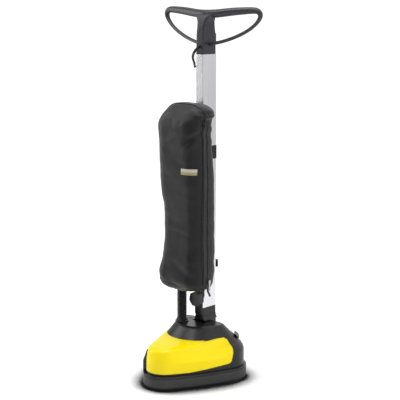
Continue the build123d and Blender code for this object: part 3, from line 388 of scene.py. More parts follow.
# %% Group: settled dust
def build_dust_group():
    """Mask of dust that lies on upward faces, thicker in clouds."""
    group, given, result = new_group(
        "settled dust", [("Place", "Vector", None), ("Amount", "Float", 0.2)], [("Mask", "Float")])
    normal = add(group, "NewGeometry").outputs["Normal"]
    facing = remap(group, add(group, "SeparateXYZ", {0: normal}).outputs["Z"], 0.35, 0.95)
    cloud = add(group, "TexNoise", {"Vector": given["Place"], "Scale": 26.0, "Detail": 6.0,
                                    "Roughness": 0.7}).outputs["Fac"]
    fine = {"Vector": given["Place"], "Scale": 900.0, "Detail": 1.0}
    specks = add(group, "TexNoise", fine).outputs["Fac"]
    lying = maths(group, "MULTIPLY", remap(group, cloud, 0.4, 0.75), remap(group, specks, 0.45, 0.7))
    mask = maths(group, "MULTIPLY", maths(group, "MULTIPLY", facing, lying), given["Amount"])
    group.links.new(mask, result["Mask"])
    return group


dust_group = build_dust_group()
print("group:", dust_group.name)

# %% [markdown]
# The tube is pressed through a die, which leaves fine lines along it. Noise that is stretched a few
# hundred times in one direction looks just like that.


# %% Group: drawn streaks
def build_streak_group():
    """Fine lines along Z, as an extruded or drawn surface has."""
    group, given, result = new_group(
        "drawn streaks",
        [("Place", "Vector", None), ("Width", "Float", 0.0006), ("Length", "Float", 0.3)],
        [("Height", "Float"), ("Shade", "Float")])
    across = maths(group, "DIVIDE", 1.0, given["Width"])
    along = maths(group, "DIVIDE", 1.0, given["Length"])
    factors = add(group, "CombineXYZ", {"X": across, "Y": across, "Z": along}).outputs[0]
    stretched = add(group, "VectorMath", {0: given["Place"], 1: factors}, operation="MULTIPLY").outputs[0]
    fine = add(group, "TexNoise", {"Vector": stretched, "Scale": 1.0, "Detail": 3.0}).outputs["Fac"]
    wide = add(group, "TexNoise", {"Vector": stretched, "Scale": 0.16, "Detail": 2.0}).outputs["Fac"]
    group.links.new(fine, result["Height"])
    group.links.new(remap(group, wide, 0.3, 0.7), result["Shade"])
    return group


streak_group = build_streak_group()
print("group:", streak_group.name)

# %% [markdown]
# ## Finishes of the hard parts
#
# Each kind of material is one function. It starts from a colour, varies the colour and roughness with
# the shared groups, and rounds sharp edges in shading with a Bevel node, because a moulded or cast
# part never has a knife edge and the thin line of light along its edges is what makes it look real.
# Rounding in shading costs no mesh and never changes the CAD parts.
#
# The plastics and rubbers of the machine differ in colour, gloss and grain. The hood is polished and
# has hardly any grain; the dome, neck and covers have a fine one; the bumper is dull rubber.


# %% Finish: moulded plastic
SETTLED_DUST = colour(150, 146, 138)


def moulded_plastic(name, base, edge_wear_highlight_colour, rough, grain_size, grain_depth, edge=0.0012, dust=0.12, shine=0.5):
    """Moulded plastic or rubber; rub is the edge colour: wear and a painted highlight. Sizes are in metres.
    """
    material, tree, shader, place = new_material(name)
    marks = use_group(tree, marks_group, Place=place, Patch=0.07, Contrast=0.6)["Mask"]
    edge_wear_highlight_mask = use_group(tree, wear_highlight_group, Place=place, Width=edge * 0.6, Patch=0.015)["Mask"]
    dusty = use_group(tree, dust_group, Place=place, Amount=dust)["Mask"]
    # edges turn toward rub: partly wear, partly a painted highlight along the rounded edge
    tone = colour_mix(tree, maths(tree, "MULTIPLY", edge_wear_highlight_mask, 0.55), base, edge_wear_highlight_colour)
    tone = colour_mix(tree, dusty, tone, SETTLED_DUST)
    connect(tree, tone, shader, "Base Color")
    gloss = remap(tree, marks, 0.0, 1.0, rough - 0.05, rough + 0.07)
    connect(tree, maths(tree, "ADD", gloss, maths(tree, "MULTIPLY", dusty, 0.5)), shader, "Roughness")
    height = use_group(tree, grain_group, Place=place, Size=grain_size)["Height"]
    rounded = add(tree, "Bevel", {"Radius": edge}, samples=4).outputs["Normal"]
    relief = {"Height": height, "Distance": grain_depth, "Strength": 0.6, "Normal": rounded}
    connect(tree, add(tree, "Bump", relief).outputs[0], shader, "Normal")
    shader.inputs["Specular IOR Level"].default_value = shine
    return material


finishes = {}
# rub is the edge colour, lighter than the base for wear and for a painted highlight; the hood's pale yellow
# one is a painted rim highlight
for name, settings in {
    "hood_gloss": dict(base=colour(249, 224, 0), edge_wear_highlight_colour=colour(255, 240, 90), rough=0.2,
                       grain_size=0.004, grain_depth=0.00004, edge=0.0022, dust=0.0, shine=0.3),
    "black_plastic": dict(base=colour(18, 18, 19), edge_wear_highlight_colour=colour(110, 110, 112), rough=0.3,
                          grain_size=0.0009, grain_depth=0.00008, dust=0.05),
    "grip_plastic": dict(base=colour(48, 48, 51), edge_wear_highlight_colour=colour(112, 112, 115), rough=0.32,
                         grain_size=0.0008, grain_depth=0.00008, dust=0.04),
    "holder_plastic": dict(base=colour(120, 121, 124), edge_wear_highlight_colour=colour(170, 170, 172), rough=0.5,
                           grain_size=0.0012, grain_depth=0.0001),
    "bumper_rubber": dict(base=colour(47, 47, 48), edge_wear_highlight_colour=colour(126, 126, 127), rough=0.42,
                          grain_size=0.0012, grain_depth=0.00014, edge=0.002, dust=0.08),
    "belt_rubber": dict(base=colour(26, 26, 27), edge_wear_highlight_colour=colour(70, 70, 70), rough=0.7,
                        grain_size=0.0008, grain_depth=0.0001),
    "hose_rubber": dict(base=colour(16, 16, 17), edge_wear_highlight_colour=colour(70, 70, 71), rough=0.3,
                        grain_size=0.0008, grain_depth=0.00005, dust=0.03),
}.items():
    finishes[name] = moulded_plastic(name, **settings)
print("plastics and rubbers:", list(finishes))

# %% [markdown]
# Bare metal shows its making: the tube has long drawn lines, turned steel short ones, and castings a
# coarse skin. All come from the streak group with other widths and lengths. The shader's metallic
# value makes the colour the colour of its reflections, as in real metal.


# %% Finish: metal
def bare_metal(name, base, rough, streak_width, streak_length, depth, edge=0.0008):
    """Metal with drawn or cast relief; the streak sizes are in metres."""
    material, tree, shader, place = new_material(name)
    streaks = use_group(tree, streak_group, Place=place, Width=streak_width, Length=streak_length)
    marks = use_group(tree, marks_group, Place=place, Patch=0.09, Contrast=0.5)["Mask"]
    darker = tuple(v * 0.86 for v in base[:3]) + (1,)
    tone = colour_mix(tree, maths(tree, "MULTIPLY", streaks["Shade"], 0.5), base, darker)
    connect(tree, tone, shader, "Base Color")
    connect(tree, remap(tree, marks, 0, 1, rough - 0.04, rough + 0.08), shader, "Roughness")
    shader.inputs["Metallic"].default_value = 1.0
    rounded = add(tree, "Bevel", {"Radius": edge}, samples=4).outputs["Normal"]
    relief = {"Height": streaks["Height"], "Distance": depth, "Strength": 0.5, "Normal": rounded}
    connect(tree, add(tree, "Bump", relief).outputs[0], shader, "Normal")
    return material


metals = {
    "tube_aluminium": dict(base=colour(252, 252, 255), rough=0.3, streak_width=0.0007, streak_length=0.5,
                           depth=0.00003),
    "steel": dict(base=colour(196, 197, 200), rough=0.28, streak_width=0.0005, streak_length=0.05,
                  depth=0.00003),
    "cast_metal": dict(base=colour(178, 178, 180), rough=0.5, streak_width=0.003, streak_length=0.004,
                       depth=0.0002),
    "motor_iron": dict(base=colour(120, 118, 116), rough=0.45, streak_width=0.0006, streak_length=0.002,
                       depth=0.0001),
}
for name, settings in metals.items():
    finishes[name] = bare_metal(name, **settings)
print("metals:", list(metals))

# %% [markdown]
# The polishing pads are felt, and the bag inside the cloth bag is paper. Both are a tangle of short
# fibres, so one function makes them from a very fine distorted noise with a coarser one for clumps.
# They are quite matt, with a little sheen from the fibres that stand up.


# %% Finish: felt and paper
def fibrous(name, base, shade, fibre, depth):
    """Felt or paper: short random fibres; their size and relief are in metres."""
    material, tree, shader, place = new_material(name)
    fibres = add(tree, "TexNoise", {"Vector": place, "Scale": 1 / fibre, "Detail": 6.0, "Roughness": 0.8,
                                    "Distortion": 1.5}).outputs["Fac"]
    clumps = add(tree, "TexNoise", {"Vector": place, "Scale": 0.12 / fibre, "Detail": 2.0}).outputs["Fac"]
    connect(tree, colour_mix(tree, remap(tree, clumps, 0.35, 0.7), base, shade), shader, "Base Color")
    shader.inputs["Roughness"].default_value = 0.95
    shader.inputs["Sheen Weight"].default_value = 0.3
    bump = add(tree, "Bump", {"Height": fibres, "Distance": depth, "Strength": 0.8})
    connect(tree, bump.outputs[0], shader, "Normal")
    return material


finishes["pad_felt"] = fibrous("pad_felt", colour(44, 44, 45), colour(30, 30, 31), 0.0009, 0.0004)
finishes["filter_paper"] = fibrous("filter_paper", colour(214, 203, 178), colour(196, 184, 158),
                                   0.0005, 0.0001)
print("felt and paper:", [finishes[name].name for name in ("pad_felt", "filter_paper")])

# %% [markdown]
# ## Cloth
#
# The bag is sewn from a coated cloth. Its threads run round the bag and up it, so the weave is
# drawn in wrapped coordinates: the angle round the bag's middle line times its radius is the
# distance round, and the height is the distance up. That needs no unwrapping of the mesh, which the
# cloth simulation would lose. Tape, piping and thread are the same weave with other colours.

# %% Place of the bag
MM = 0.001
WEAVE_RADIUS = 70 * MM  # mean distance of the cloth from the bag's middle line
bag_low, bag_high = (Vector(corner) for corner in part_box("bag"))
BAG_MIDDLE = (0.0, (bag_low.y + bag_high.y) / 2)
print("bag from", round(bag_low.z, 4), "to", round(bag_high.z, 4), "m above the floor")


# %% Finish: woven cloth
def woven(name, base, light, thread, depth, rough):
    """Plain weave wrapped round the bag's middle line, its raised threads painted lighter; thread width and
    relief in metres.
    """
    material, tree, shader, place = new_material(name)
    axis = add(tree, "VectorMath", {0: place, 1: (*BAG_MIDDLE, 0.0)}, operation="SUBTRACT").outputs[0]
    parts = add(tree, "SeparateXYZ", {0: axis}).outputs
    angle = maths(tree, "ARCTAN2", parts["Y"], parts["X"])
    turns = math.tau / (2 * thread)
    warp = maths(tree, "SINE", maths(tree, "MULTIPLY", angle, WEAVE_RADIUS * turns))
    weft = maths(tree, "SINE", maths(tree, "MULTIPLY", parts["Z"], turns))
    over = maths(tree, "MULTIPLY", warp, weft)
    uneven = {"Vector": place, "Scale": 0.18 / thread, "Detail": 4.0, "Roughness": 0.7}
    slub = add(tree, "TexNoise", uneven).outputs["Fac"]
    marks = use_group(tree, marks_group, Place=place, Patch=0.11, Contrast=0.35)["Mask"]
    dusty = use_group(tree, dust_group, Place=place, Amount=0.1)["Mask"]
    # painted highlight on the raised threads of the weave, plus slubs that vary the tone at random
    shade = maths(tree, "ADD", maths(tree, "MULTIPLY", remap(tree, over, -1, 1), 0.45),
                  maths(tree, "MULTIPLY", remap(tree, slub, 0.3, 0.7), 0.55))
    tone = colour_mix(tree, shade, base, light)
    tone = colour_mix(tree, dusty, tone, colour(140, 137, 130))
    connect(tree, tone, shader, "Base Color")
    connect(tree, remap(tree, marks, 0, 1, rough - 0.05, rough + 0.09), shader, "Roughness")
    shader.inputs["Sheen Weight"].default_value = 0.1
    shader.inputs["Sheen Roughness"].default_value = 0.4
    shader.inputs["Specular IOR Level"].default_value = 0.4
    height = maths(tree, "ADD", over, maths(tree, "MULTIPLY", slub, 1.5))
    bump = add(tree, "Bump", {"Height": height, "Distance": depth, "Strength": 0.5})
    connect(tree, bump.outputs[0], shader, "Normal")
    return material


# light is the colour of the raised threads, a painted highlight, and of the slubs
cloths = {
    "bag_cloth": dict(base=colour(8, 8, 8), light=colour(20, 19, 19), thread=0.0007, depth=0.00008,
                      rough=0.42),
    "piping": dict(base=colour(14, 14, 15), light=colour(26, 26, 27), thread=0.0006, depth=0.00008,
                   rough=0.5),
    "zip_tape": dict(base=colour(28, 27, 27), light=colour(50, 49, 48), thread=0.0005, depth=0.00008,
                     rough=0.55),
    "thread": dict(base=colour(70, 69, 68), light=colour(98, 96, 94), thread=0.0003, depth=0.00004,
                   rough=0.6),
}
for name, settings in cloths.items():
    finishes[name] = woven(name, **settings)
print("cloths:", list(cloths))


# %% [markdown]
# ## The bag's form
#
# The bag hangs from the tube, full at the top, drawn in at the waist, and wide again where the
# dust collects. Its right and rear flanks hang straight beside the tube. Sculpting it by hand can't
# be repeated from a script, so it starts as a lofted shell through level sections, a little smaller
# than its real size. A cloth simulation then blows it up, which rounds the panels the way stretched
# cloth rounds. First come a few helpers that make meshes and read their points.


# %% Mesh helpers
def mesh_object(name, points, faces, material, smooth=True):
    """A mesh object from points in metres."""
    mesh = bpy.data.meshes.new(name)
    mesh.from_pydata([tuple(p) for p in points], [], faces)
    mesh.validate()
    mesh.materials.append(material)
    mesh.polygons.foreach_set("use_smooth", [smooth] * len(mesh.polygons))
    piece = bpy.data.objects.new(name, mesh)
    bpy.context.scene.collection.objects.link(piece)
    return piece


def grid_faces(rows, columns, closed=False):
    """Faces of a grid of points stored row by row; closed joins the last column to the first."""
    faces = []
    for row in range(rows - 1):
        for column in range(columns if closed else columns - 1):
            right = (column + 1) % columns
            faces.append((row * columns + column, row * columns + right,
                          (row + 1) * columns + right, (row + 1) * columns + column))
    return faces


def applied(piece):
    """Apply all modifiers of a piece to its mesh."""
    depsgraph = bpy.context.evaluated_depsgraph_get()
    mesh = bpy.data.meshes.new_from_object(piece.evaluated_get(depsgraph))
    piece.modifiers.clear()
    piece.data = mesh
    return piece


def coordinates(mesh):
    """A mesh's points as one array."""
    flat = np.empty(len(mesh.vertices) * 3)
    mesh.vertices.foreach_get("co", flat)
    return flat.reshape(-1, 3)


def normals(mesh):
    """A mesh's point normals as one array."""
    flat = np.empty(len(mesh.vertices) * 3)
    mesh.vertex_normals.foreach_get("vector", flat)
    return flat.reshape(-1, 3)


# %% [markdown]
# Each section of the bag is a rectangle with round corners. It is given by how far its right and
# back stay inside the bag's box, because those two flanks lie beside the zip and the tube.

# %% Bag: lofted shell
BAG_SECTIONS = [
    # height above the foot, inset of the right flank, half width, inset of the back, half depth and
    # corner radius; all in millimetres
    (2, 38, 64, 10, 42, 40), (7, 16, 78, 9, 46, 44), (14, 5, 87, 9, 50, 47), (27, 1, 92, 6, 53, 47),
    (42, 0, 94.5, 2, 54, 48), (64, 0, 94, 0, 54.5, 47), (90, 0, 91.5, 0, 53, 48), (115, 0, 89, 0, 52, 47),
    (140, 0, 87.2, 0, 51, 46), (176, 0, 86.6, 0, 50.5, 47), (210, 0, 86.4, 0, 50.5, 47),
    (240, 0, 86.8, 0, 51, 47), (262, 0, 88, 0, 51, 46), (290, 0, 89.8, 0, 52, 46), (315, 0, 90.8, 0, 53, 46),
    (339, 0, 91.2, 0.5, 54, 47), (366, 0, 91.8, 1.5, 54, 48), (395, 0.5, 91.8, 3, 54, 49),
    (450, 3, 91, 6, 54, 50), (510, 4.5, 91.2, 7.5, 54, 51), (523, 4, 90.2, 6, 54, 49),
    (535, 2, 90, 3, 52, 47), (547, 0, 87.5, 3, 48.5, 46), (558, 3, 79.5, 5, 45, 43),
    (567, 18, 66, 11, 37, 35), (573, 34, 52, 19, 28, 26), (576, 48, 38, 28, 18, 16),
]
ARC_STEPS = 18       # points round each corner of a section
BAG_ALLOWANCE = 1.5  # how much smaller the shell starts, on every side


def rounded_section(half_x, half_y, corner):
    """Points of a rectangle with round corners, anticlockwise from its right side."""
    points = []
    for number, (sx, sy) in enumerate(((1, 1), (-1, 1), (-1, -1), (1, -1))):
        for step in range(ARC_STEPS):
            angle = math.pi / 2 * (number + step / (ARC_STEPS - 1))
            points.append((sx * (half_x - corner) + corner * math.cos(angle),
                           sy * (half_y - corner) + corner * math.sin(angle)))
    return points


def lofted_bag(name, smaller, pleat, material):
    """Closed shell through the sections; smaller on every side and pleated, in millimetres."""
    points = []
    whole = (bag_high.z - bag_low.z) / MM
    for height, inset_x, half_x, inset_y, half_y, corner in BAG_SECTIONS:
        middle_x = bag_high.x / MM - inset_x - half_x
        middle_y = bag_high.y / MM - inset_y - half_y
        z = bag_low.z / MM + smaller + height * (1 - 2 * smaller / whole)
        section = rounded_section(half_x - smaller, half_y - smaller, corner - smaller)
        for number, (x, y) in enumerate(section):
            fold = 1 - (pleat if number % 2 else 0.0) / half_y
            points.append(((middle_x + x * fold) * MM, (middle_y + y * fold) * MM, z * MM))
    ring = 4 * ARC_STEPS
    faces = grid_faces(len(BAG_SECTIONS), ring, closed=True)
    faces.append(tuple(reversed(range(ring))))
    faces.append(tuple(range(len(points) - ring, len(points))))
    return mesh_object(name, points, faces, material)


dust_bag = lofted_bag("dust_bag", BAG_ALLOWANCE, 0.0, finishes["bag_cloth"])
print("bag shell:", len(dust_bag.data.vertices), "points")


# %% [markdown]
# The simulation needs even faces, so the shell is remeshed first. Pressure from inside then pushes
# the cloth out until its threads hold it. Gravity is off, because the sections already give the
# bag's hang, and no point may move further than a set distance, so the bag keeps its place.


# %% Bag: cloth under pressure
CLOTH_VOXEL = 6 * MM      # size of the faces that the simulation moves
CLOTH_PRESSURE = 3.0
CLOTH_REACH = 3 * MM      # how far a point may move
CLOTH_FRAMES = 20


def inflate(piece):
    """Remesh a closed shell, blow it up as cloth, and keep each point within reach of its start."""
    shell = piece.modifiers.new("remesh", "REMESH")
    shell.mode = "VOXEL"
    shell.voxel_size = CLOTH_VOXEL
    applied(piece)
    start = coordinates(piece.data)
    cloth = piece.modifiers.new("cloth", "CLOTH")
    cloth.settings.quality = 5
    cloth.settings.mass = 0.25
    cloth.settings.tension_stiffness = 22
    cloth.settings.compression_stiffness = 8
    cloth.settings.bending_stiffness = 0.8
    cloth.settings.use_pressure = True
    cloth.settings.uniform_pressure_force = CLOTH_PRESSURE
    cloth.settings.effector_weights.gravity = 0
    cloth.collision_settings.use_collision = False
    cloth.collision_settings.use_self_collision = False
    for frame_number in range(1, CLOTH_FRAMES + 1):
        bpy.context.scene.frame_set(frame_number)
    applied(piece)
    bpy.context.scene.frame_set(1)
    moved = coordinates(piece.data) - start
    length = np.maximum(np.linalg.norm(moved, axis=1, keepdims=True), 1e-9)
    kept = start + moved / length * np.minimum(length, CLOTH_REACH)
    piece.data.vertices.foreach_set("co", kept.ravel())
    print("largest move", round(float(length.max()) / MM, 2), "mm, kept to", CLOTH_REACH / MM)
    return piece


inflate(dust_bag)
print("bag after cloth:", len(dust_bag.data.vertices), "points")

# %% [markdown]
# A simulation gives the general roundness. The creases that make it look like a used bag are
# drawn afterwards: each one is a line on the surface, and the points near it move in or out by a
# smooth amount that dies away to the sides and towards its ends. The deepest are short slanting
# folds near the top right corner, where the cloth hangs from its clamp; weaker ones cross the middle
# and the foot. Two layers of noise add the unevenness that no cloth is without.

# %% Bag: creases
CREASES = [
    # from (x, height), to (x, height), side of the bag, half width, amount outwards; millimetres
    ((96, 792), (60, 770), "right", 9, 4.0), ((96, 780), (52, 742), "right", 8, -3.0),
    ((94, 758), (40, 716), "right", 10, 2.5), ((92, 815), (96, 825), "right", 16, 5.0),
    ((96, 797), (90, 800), "right", 6, -3.5), ((-10, 470), (60, 462), "front", 9, -1.6),
    ((-40, 482), (30, 488), "front", 10, 1.4), ((-70, 520), (10, 505), "front", 12, -1.2),
    ((-60, 322), (20, 306), "front", 9, -2.4), ((-30, 340), (60, 318), "front", 10, 2.2),
    ((0, 372), (80, 330), "front", 11, -2.0), ((-80, 352), (-30, 318), "front", 9, 2.0),
    ((-88, 540), (-78, 470), "front", 10, -2.0), ((-60, 800), (-10, 812), "front", 12, -1.5),
    ((20, 600), (80, 585), "front", 12, -1.0), ((-70, 690), (30, 660), "front", 16, 1.0),
]


CREASE_RUN_OUT = 0.25   # how far a crease goes on past its ends, as a share of its length
UNEVENNESS = [
    # waves per metre along x, y and z, shift of the pattern along z, and height in millimetres
    (14, 14, 30, 0, 1.6),
    (40, 40, 75, 9, 0.45),
]


def crease(points, facing, first, last, side, half_width, amount):
    """How far each point moves along its normal for one crease."""
    plane = points[:, [0, 2]] / MM
    begin, end = np.array(first, float), np.array(last, float)
    along = end - begin
    share = ((plane - begin) @ along) / (along @ along)
    share = np.clip(share, -CREASE_RUN_OUT, 1 + CREASE_RUN_OUT)
    nearest = begin + share[:, None] * along
    away = np.linalg.norm(plane - nearest, axis=1) / half_width
    fade = np.clip(1.25 - np.abs(share - 0.5) * 1.7, 0, 1)
    towards = -facing[:, 1] * 2 if side == "front" else facing[:, 0] * 1.6 - facing[:, 1]
    return amount * MM * np.exp(-away ** 2) * fade * np.clip(towards, 0, 1)


def unevenness(points, wave_x, wave_y, wave_z, start, height):
    """How far each point moves along its normal for one layer of noise."""
    spots = [Vector((x * wave_x, y * wave_y, z * wave_z + start)) for x, y, z in points]
    return np.array([noise.noise(spot) for spot in spots]) * height * MM


def draw_creases(piece):
    """Fine mesh, creases, and a slight unevenness all over."""
    fine = piece.modifiers.new("fine", "SUBSURF")
    fine.levels = fine.render_levels = 1
    applied(piece)
    points, facing = coordinates(piece.data), normals(piece.data)
    shift = sum(crease(points, facing, *line) for line in CREASES)
    shift = shift + sum(unevenness(points, *layer) for layer in UNEVENNESS)
    points = points + facing * shift[:, None]
    piece.data.vertices.foreach_set("co", points.ravel())
    piece.data.polygons.foreach_set("use_smooth", [True] * len(piece.data.polygons))
    piece.data.update()


draw_creases(dust_bag)
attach(dust_bag, "handle")
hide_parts("bag")
bag_skin = BVHTree.FromObject(dust_bag, bpy.context.evaluated_depsgraph_get())
print("bag box:", [round(v, 4) for v in dust_bag.dimensions])

# %% [markdown]
# Inside the cloth bag hangs the paper one that holds the dust. It follows the same sections,
# drawn in far enough to stay clear of the cloth, with the upright folds that let paper swell.

# %% Bag: paper filter
PAPER_GAP = 11.0    # how far the paper stays inside the cloth, in millimetres
PAPER_PLEAT = 1.6   # depth of its upright folds
paper_bag = lofted_bag("paper_bag", PAPER_GAP, PAPER_PLEAT, finishes["filter_paper"])
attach(paper_bag, "handle")
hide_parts("filter_bag")
print("paper bag:", [round(v, 4) for v in paper_bag.dimensions])

# %% [markdown]
# ## What is sewn on the bag
#
# Everything sewn on follows the cloth. A ray shot at the bag finds the skin under each point, so
# zip, label, piping and stitches lie on the folds instead of floating over them. A Shrinkwrap
# modifier would do much the same, but rays let each strip be built in its final place at once.


# %% Following the skin
RAY_START = 0.05  # how far outside the bag's box a ray starts, in metres


def skin_from(origin, direction, lift):
    """The point of the bag's skin that a ray meets, or the nearest one, lifted off it."""
    place, normal, _, _ = bag_skin.ray_cast(Vector(origin), Vector(direction))
    if place is None:
        place, normal, _, _ = bag_skin.find_nearest(Vector(origin))
    return place + normal * lift


def right_side(y, z, lift):
    """Skin point of the right flank at a depth y and a height z."""
    return skin_from((bag_high.x + RAY_START, y, z), (-1, 0, 0), lift)


def front_side(x, z, lift):
    """Skin point of the front at a width x and a height z."""
    return skin_from((x, bag_low.y - RAY_START, z), (0, 1, 0), lift)


def ribbon(name, finder, across, lifts, along, material):
    """A strip on the skin: positions across it with their lifts, repeated at each place along."""
    points = [finder(side, up, lift) for up in along for side, lift in zip(across, lifts)]
    return mesh_object(name, points, grid_faces(len(along), len(across)), material)


def sewn(piece):
    """Fix a piece to the handle's body, which carries the bag."""
    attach(piece, "handle")
    return piece


print("a point of the front:", [round(v, 4) for v in front_side(0, (bag_low.z + bag_high.z) / 2, 0)])

# %% [markdown]
# ## Zip
#
# The bag is emptied through a long zip on its right flank. Its tape is two strips of webbing, each
# with a thick outer hem and a rolled edge beside the teeth. A strip is a grid of skin points, whose
# lifts across the strip draw that profile.

# %% Zip tape
TAPE_STEP = 0.003       # distance between rows of the tape
TAPE_TOP_GAP = 0.02     # how far the tape ends below the top of its place, where the bag curves in
TEETH_GAP = 0.0022      # distance from the zip's middle to each strip
TAPE_PROFILE = [
    # share of the way from the outer edge to the inner one, and lift off the skin in metres
    (0.0, 0.0), (0.02, 0.0015), (0.1, 0.0021), (0.2, 0.0019), (0.26, 0.0009),
    (0.8, 0.0009), (0.9, 0.0018), (0.97, 0.0016), (1.0, 0.0002),
]

tape_low, tape_high = (Vector(corner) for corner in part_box("zip_tape"))
slider_low, slider_high = (Vector(corner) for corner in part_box("zip_slider"))
zip_y = (slider_low.y + slider_high.y) / 2
tape_top = tape_high.z - TAPE_TOP_GAP
tape_heights = list(np.arange(tape_low.z, tape_top, TAPE_STEP))


def zip_strip(name, edge_y, inner_y):
    """One half of the zip's tape, from its outer edge to the edge beside the teeth."""
    across = [edge_y + (inner_y - edge_y) * share for share, _ in TAPE_PROFILE]
    lifts = [lift for _, lift in TAPE_PROFILE]
    return ribbon(name, right_side, across, lifts, tape_heights, finishes["zip_tape"])


front_tape = sewn(zip_strip("zip_tape_front", tape_low.y, zip_y - TEETH_GAP))
sewn(zip_strip("zip_tape_rear", tape_high.y, zip_y + TEETH_GAP))
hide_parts("zip_tape")
print("rows of tape:", len(tape_heights))

# %% [markdown]
# The teeth are small blocks that come from the left and the right strip in turn. They start above
# the slider, which is at the foot while the bag is shut. All of them are one mesh, so that some
# hundreds of blocks don't become as many objects.


# %% Zip teeth
TOOTH_HALF = (0.0009, 0.0014, 0.00055)   # half size of a tooth along x, y and z, in metres
TOOTH_PITCH = 0.0016
TOOTH_SHIFT = 0.0006    # how far a tooth is off the middle, towards its own strip
TOOTH_LIFT = 0.0012
SLIDER_GAP = 0.002      # distance from the slider to the first tooth


def zip_teeth():
    """Interlocking teeth as small blocks, alternately from each side."""
    block = [(x, y, up) for up in (-1, 1) for x, y in ((-1, -1), (1, -1), (1, 1), (-1, 1))]
    sides = [(0, 3, 2, 1), (4, 5, 6, 7), (0, 1, 5, 4), (1, 2, 6, 5), (2, 3, 7, 6), (3, 0, 4, 7)]
    points, faces = [], []
    for number, z in enumerate(np.arange(slider_high.z + SLIDER_GAP, tape_heights[-1], TOOTH_PITCH)):
        middle = right_side(zip_y + (TOOTH_SHIFT if number % 2 else -TOOTH_SHIFT), z, TOOTH_LIFT)
        base = len(points)
        points += [middle + Vector(corner) * Vector(TOOTH_HALF) for corner in block]
        faces += [tuple(base + corner for corner in side) for side in sides]
    return mesh_object("zip_teeth", points, faces, finishes["black_plastic"], smooth=False)


teeth = sewn(zip_teeth())
print("teeth:", len(teeth.data.polygons) // 6)

# %% [markdown]
# ## Piping
#
# A round cord covered in cloth is sewn into the seam round the front panel. It is a thin tube along
# a line of skin points. The line goes up beside the zip, over the top in half a turn, and down the
# left flank, where the rays come from the other side.




# %% Piping
PIPING_RADIUS = 0.0019
PIPING_LIFT = 0.0006    # how far the middle of the piping is off the skin
PIPING_STEP = 0.006
PIPING_SIDES = 8
PIPING_TURN = 40        # steps in the half turn over the top


def tube_along(name, path, radius, material):
    """A thin round tube along a line of points."""
    points = []
    for number, here in enumerate(path):
        before, after = path[max(number - 1, 0)], path[min(number + 1, len(path) - 1)]
        ahead = (after - before).normalized()
        outward = (here - Vector((BAG_MIDDLE[0], BAG_MIDDLE[1], here.z - 0.02))).normalized()
        side = ahead.cross(outward).normalized()
        up = side.cross(ahead)
        for step in range(PIPING_SIDES):
            angle = math.tau * step / PIPING_SIDES
            points.append(here + (side * math.cos(angle) + up * math.sin(angle)) * radius)
    return mesh_object(name, points, grid_faces(len(path), PIPING_SIDES, closed=True), material)


def front_panel_edge():
    """Line round the front panel: up the right edge, over the top and down the left edge."""
    edge_y = tape_low.y - 0.0025
    foot, top = bag_low.z + 0.03, bag_high.z - 0.045
    path = [right_side(edge_y, z, PIPING_LIFT) for z in np.arange(foot, top, PIPING_STEP)]
    middle = Vector((0.0, BAG_MIDDLE[1] + 0.01, top - 0.03))
    for step in range(1, PIPING_TURN):
        angle = math.pi * step / PIPING_TURN
        away = Vector((math.cos(angle) * 1.2, -0.26, math.sin(angle) * 0.9)).normalized()
        path.append(skin_from(middle + away * 0.4, -away, PIPING_LIFT))
    for z in np.arange(top, foot, -PIPING_STEP):
        path.append(skin_from((bag_low.x - 0.1, edge_y, z), (1, 0, 0), PIPING_LIFT))
    return path


piping = sewn(tube_along("front_piping", front_panel_edge(), PIPING_RADIUS, finishes["piping"]))
print("piping points:", len(piping.data.vertices))

# %% [markdown]
# ## Stitches
#
# A seam is a row of short threads, each thick in the middle and sunk into the cloth at its ends. A
# texture could fake them, but they catch light one by one, so each stitch is a tiny six-sided
# spindle. The path is walked in small steps, and a stitch is set each time it has gone far enough.


# %% Stitches
STITCH_LENGTH = 0.0026
STITCH_GAP = 0.0016
STITCH_RADIUS = 0.00035
STITCH_LIFT = 0.0011
STITCH_SIDES = 6
SEAM_INSET = 0.0035     # distance of a seam from the tape's outer edge
SEAM_STEP = 0.0011      # distance between the points of a seam's path


def stitch_line(name, path):
    """A row of short threads along a path of points on the skin."""
    spindle = grid_faces(3, STITCH_SIDES, closed=True)
    points, faces = [], []
    travelled, start = 0.0, path[0]
    for here, after in zip(path, path[1:]):
        travelled += (after - here).length
        if travelled < STITCH_LENGTH + STITCH_GAP:
            continue
        ahead = (after - start).normalized()
        side = ahead.cross(Vector((0, 0, 1)) if abs(ahead.z) < 0.7 else Vector((0, 1, 0))).normalized()
        up = side.cross(ahead)
        base = len(points)
        for end, thickness in ((0.0, 0.6), (0.5, 1.0), (1.0, 0.6)):
            for step in range(STITCH_SIDES):
                angle = math.tau * step / STITCH_SIDES
                ring = (side * math.cos(angle) + up * math.sin(angle)) * STITCH_RADIUS * thickness
                points.append(start + ahead * STITCH_LENGTH * end + ring)
        faces += [tuple(base + corner for corner in face) for face in spindle]
        travelled, start = 0.0, after
    return mesh_object(name, points, faces, finishes["thread"])


seams = {"stitches_front": tape_low.y + SEAM_INSET, "stitches_rear": tape_high.y - SEAM_INSET}
for name, seam_y in seams.items():
    seam_path = [right_side(seam_y, z, STITCH_LIFT) for z in np.arange(tape_low.z, tape_top, SEAM_STEP)]
    sewn(stitch_line(name, seam_path))
print("seams:", list(seams))

# %% [markdown]
# ## Label
#
# A small woven label is sewn to the front of the bag. It is left blank: a pale upper half and a gold
# lower half with a turned hem. Its two tones come from height, so one mesh carries both.

# %% Label
LABEL_INSET = 0.0055    # how far the sewn label stays inside the CAD label at each side
LABEL_COLUMNS = 32
LABEL_BORDER = 0.0004   # half the height over which pale turns to gold
LABEL_LIFTS = [0.0001] + [0.0013] + [0.0010] * 8 + [0.0013] + [0.0001]   # off the skin, foot to top
label_low, label_high = (Vector(corner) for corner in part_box("bag_label"))


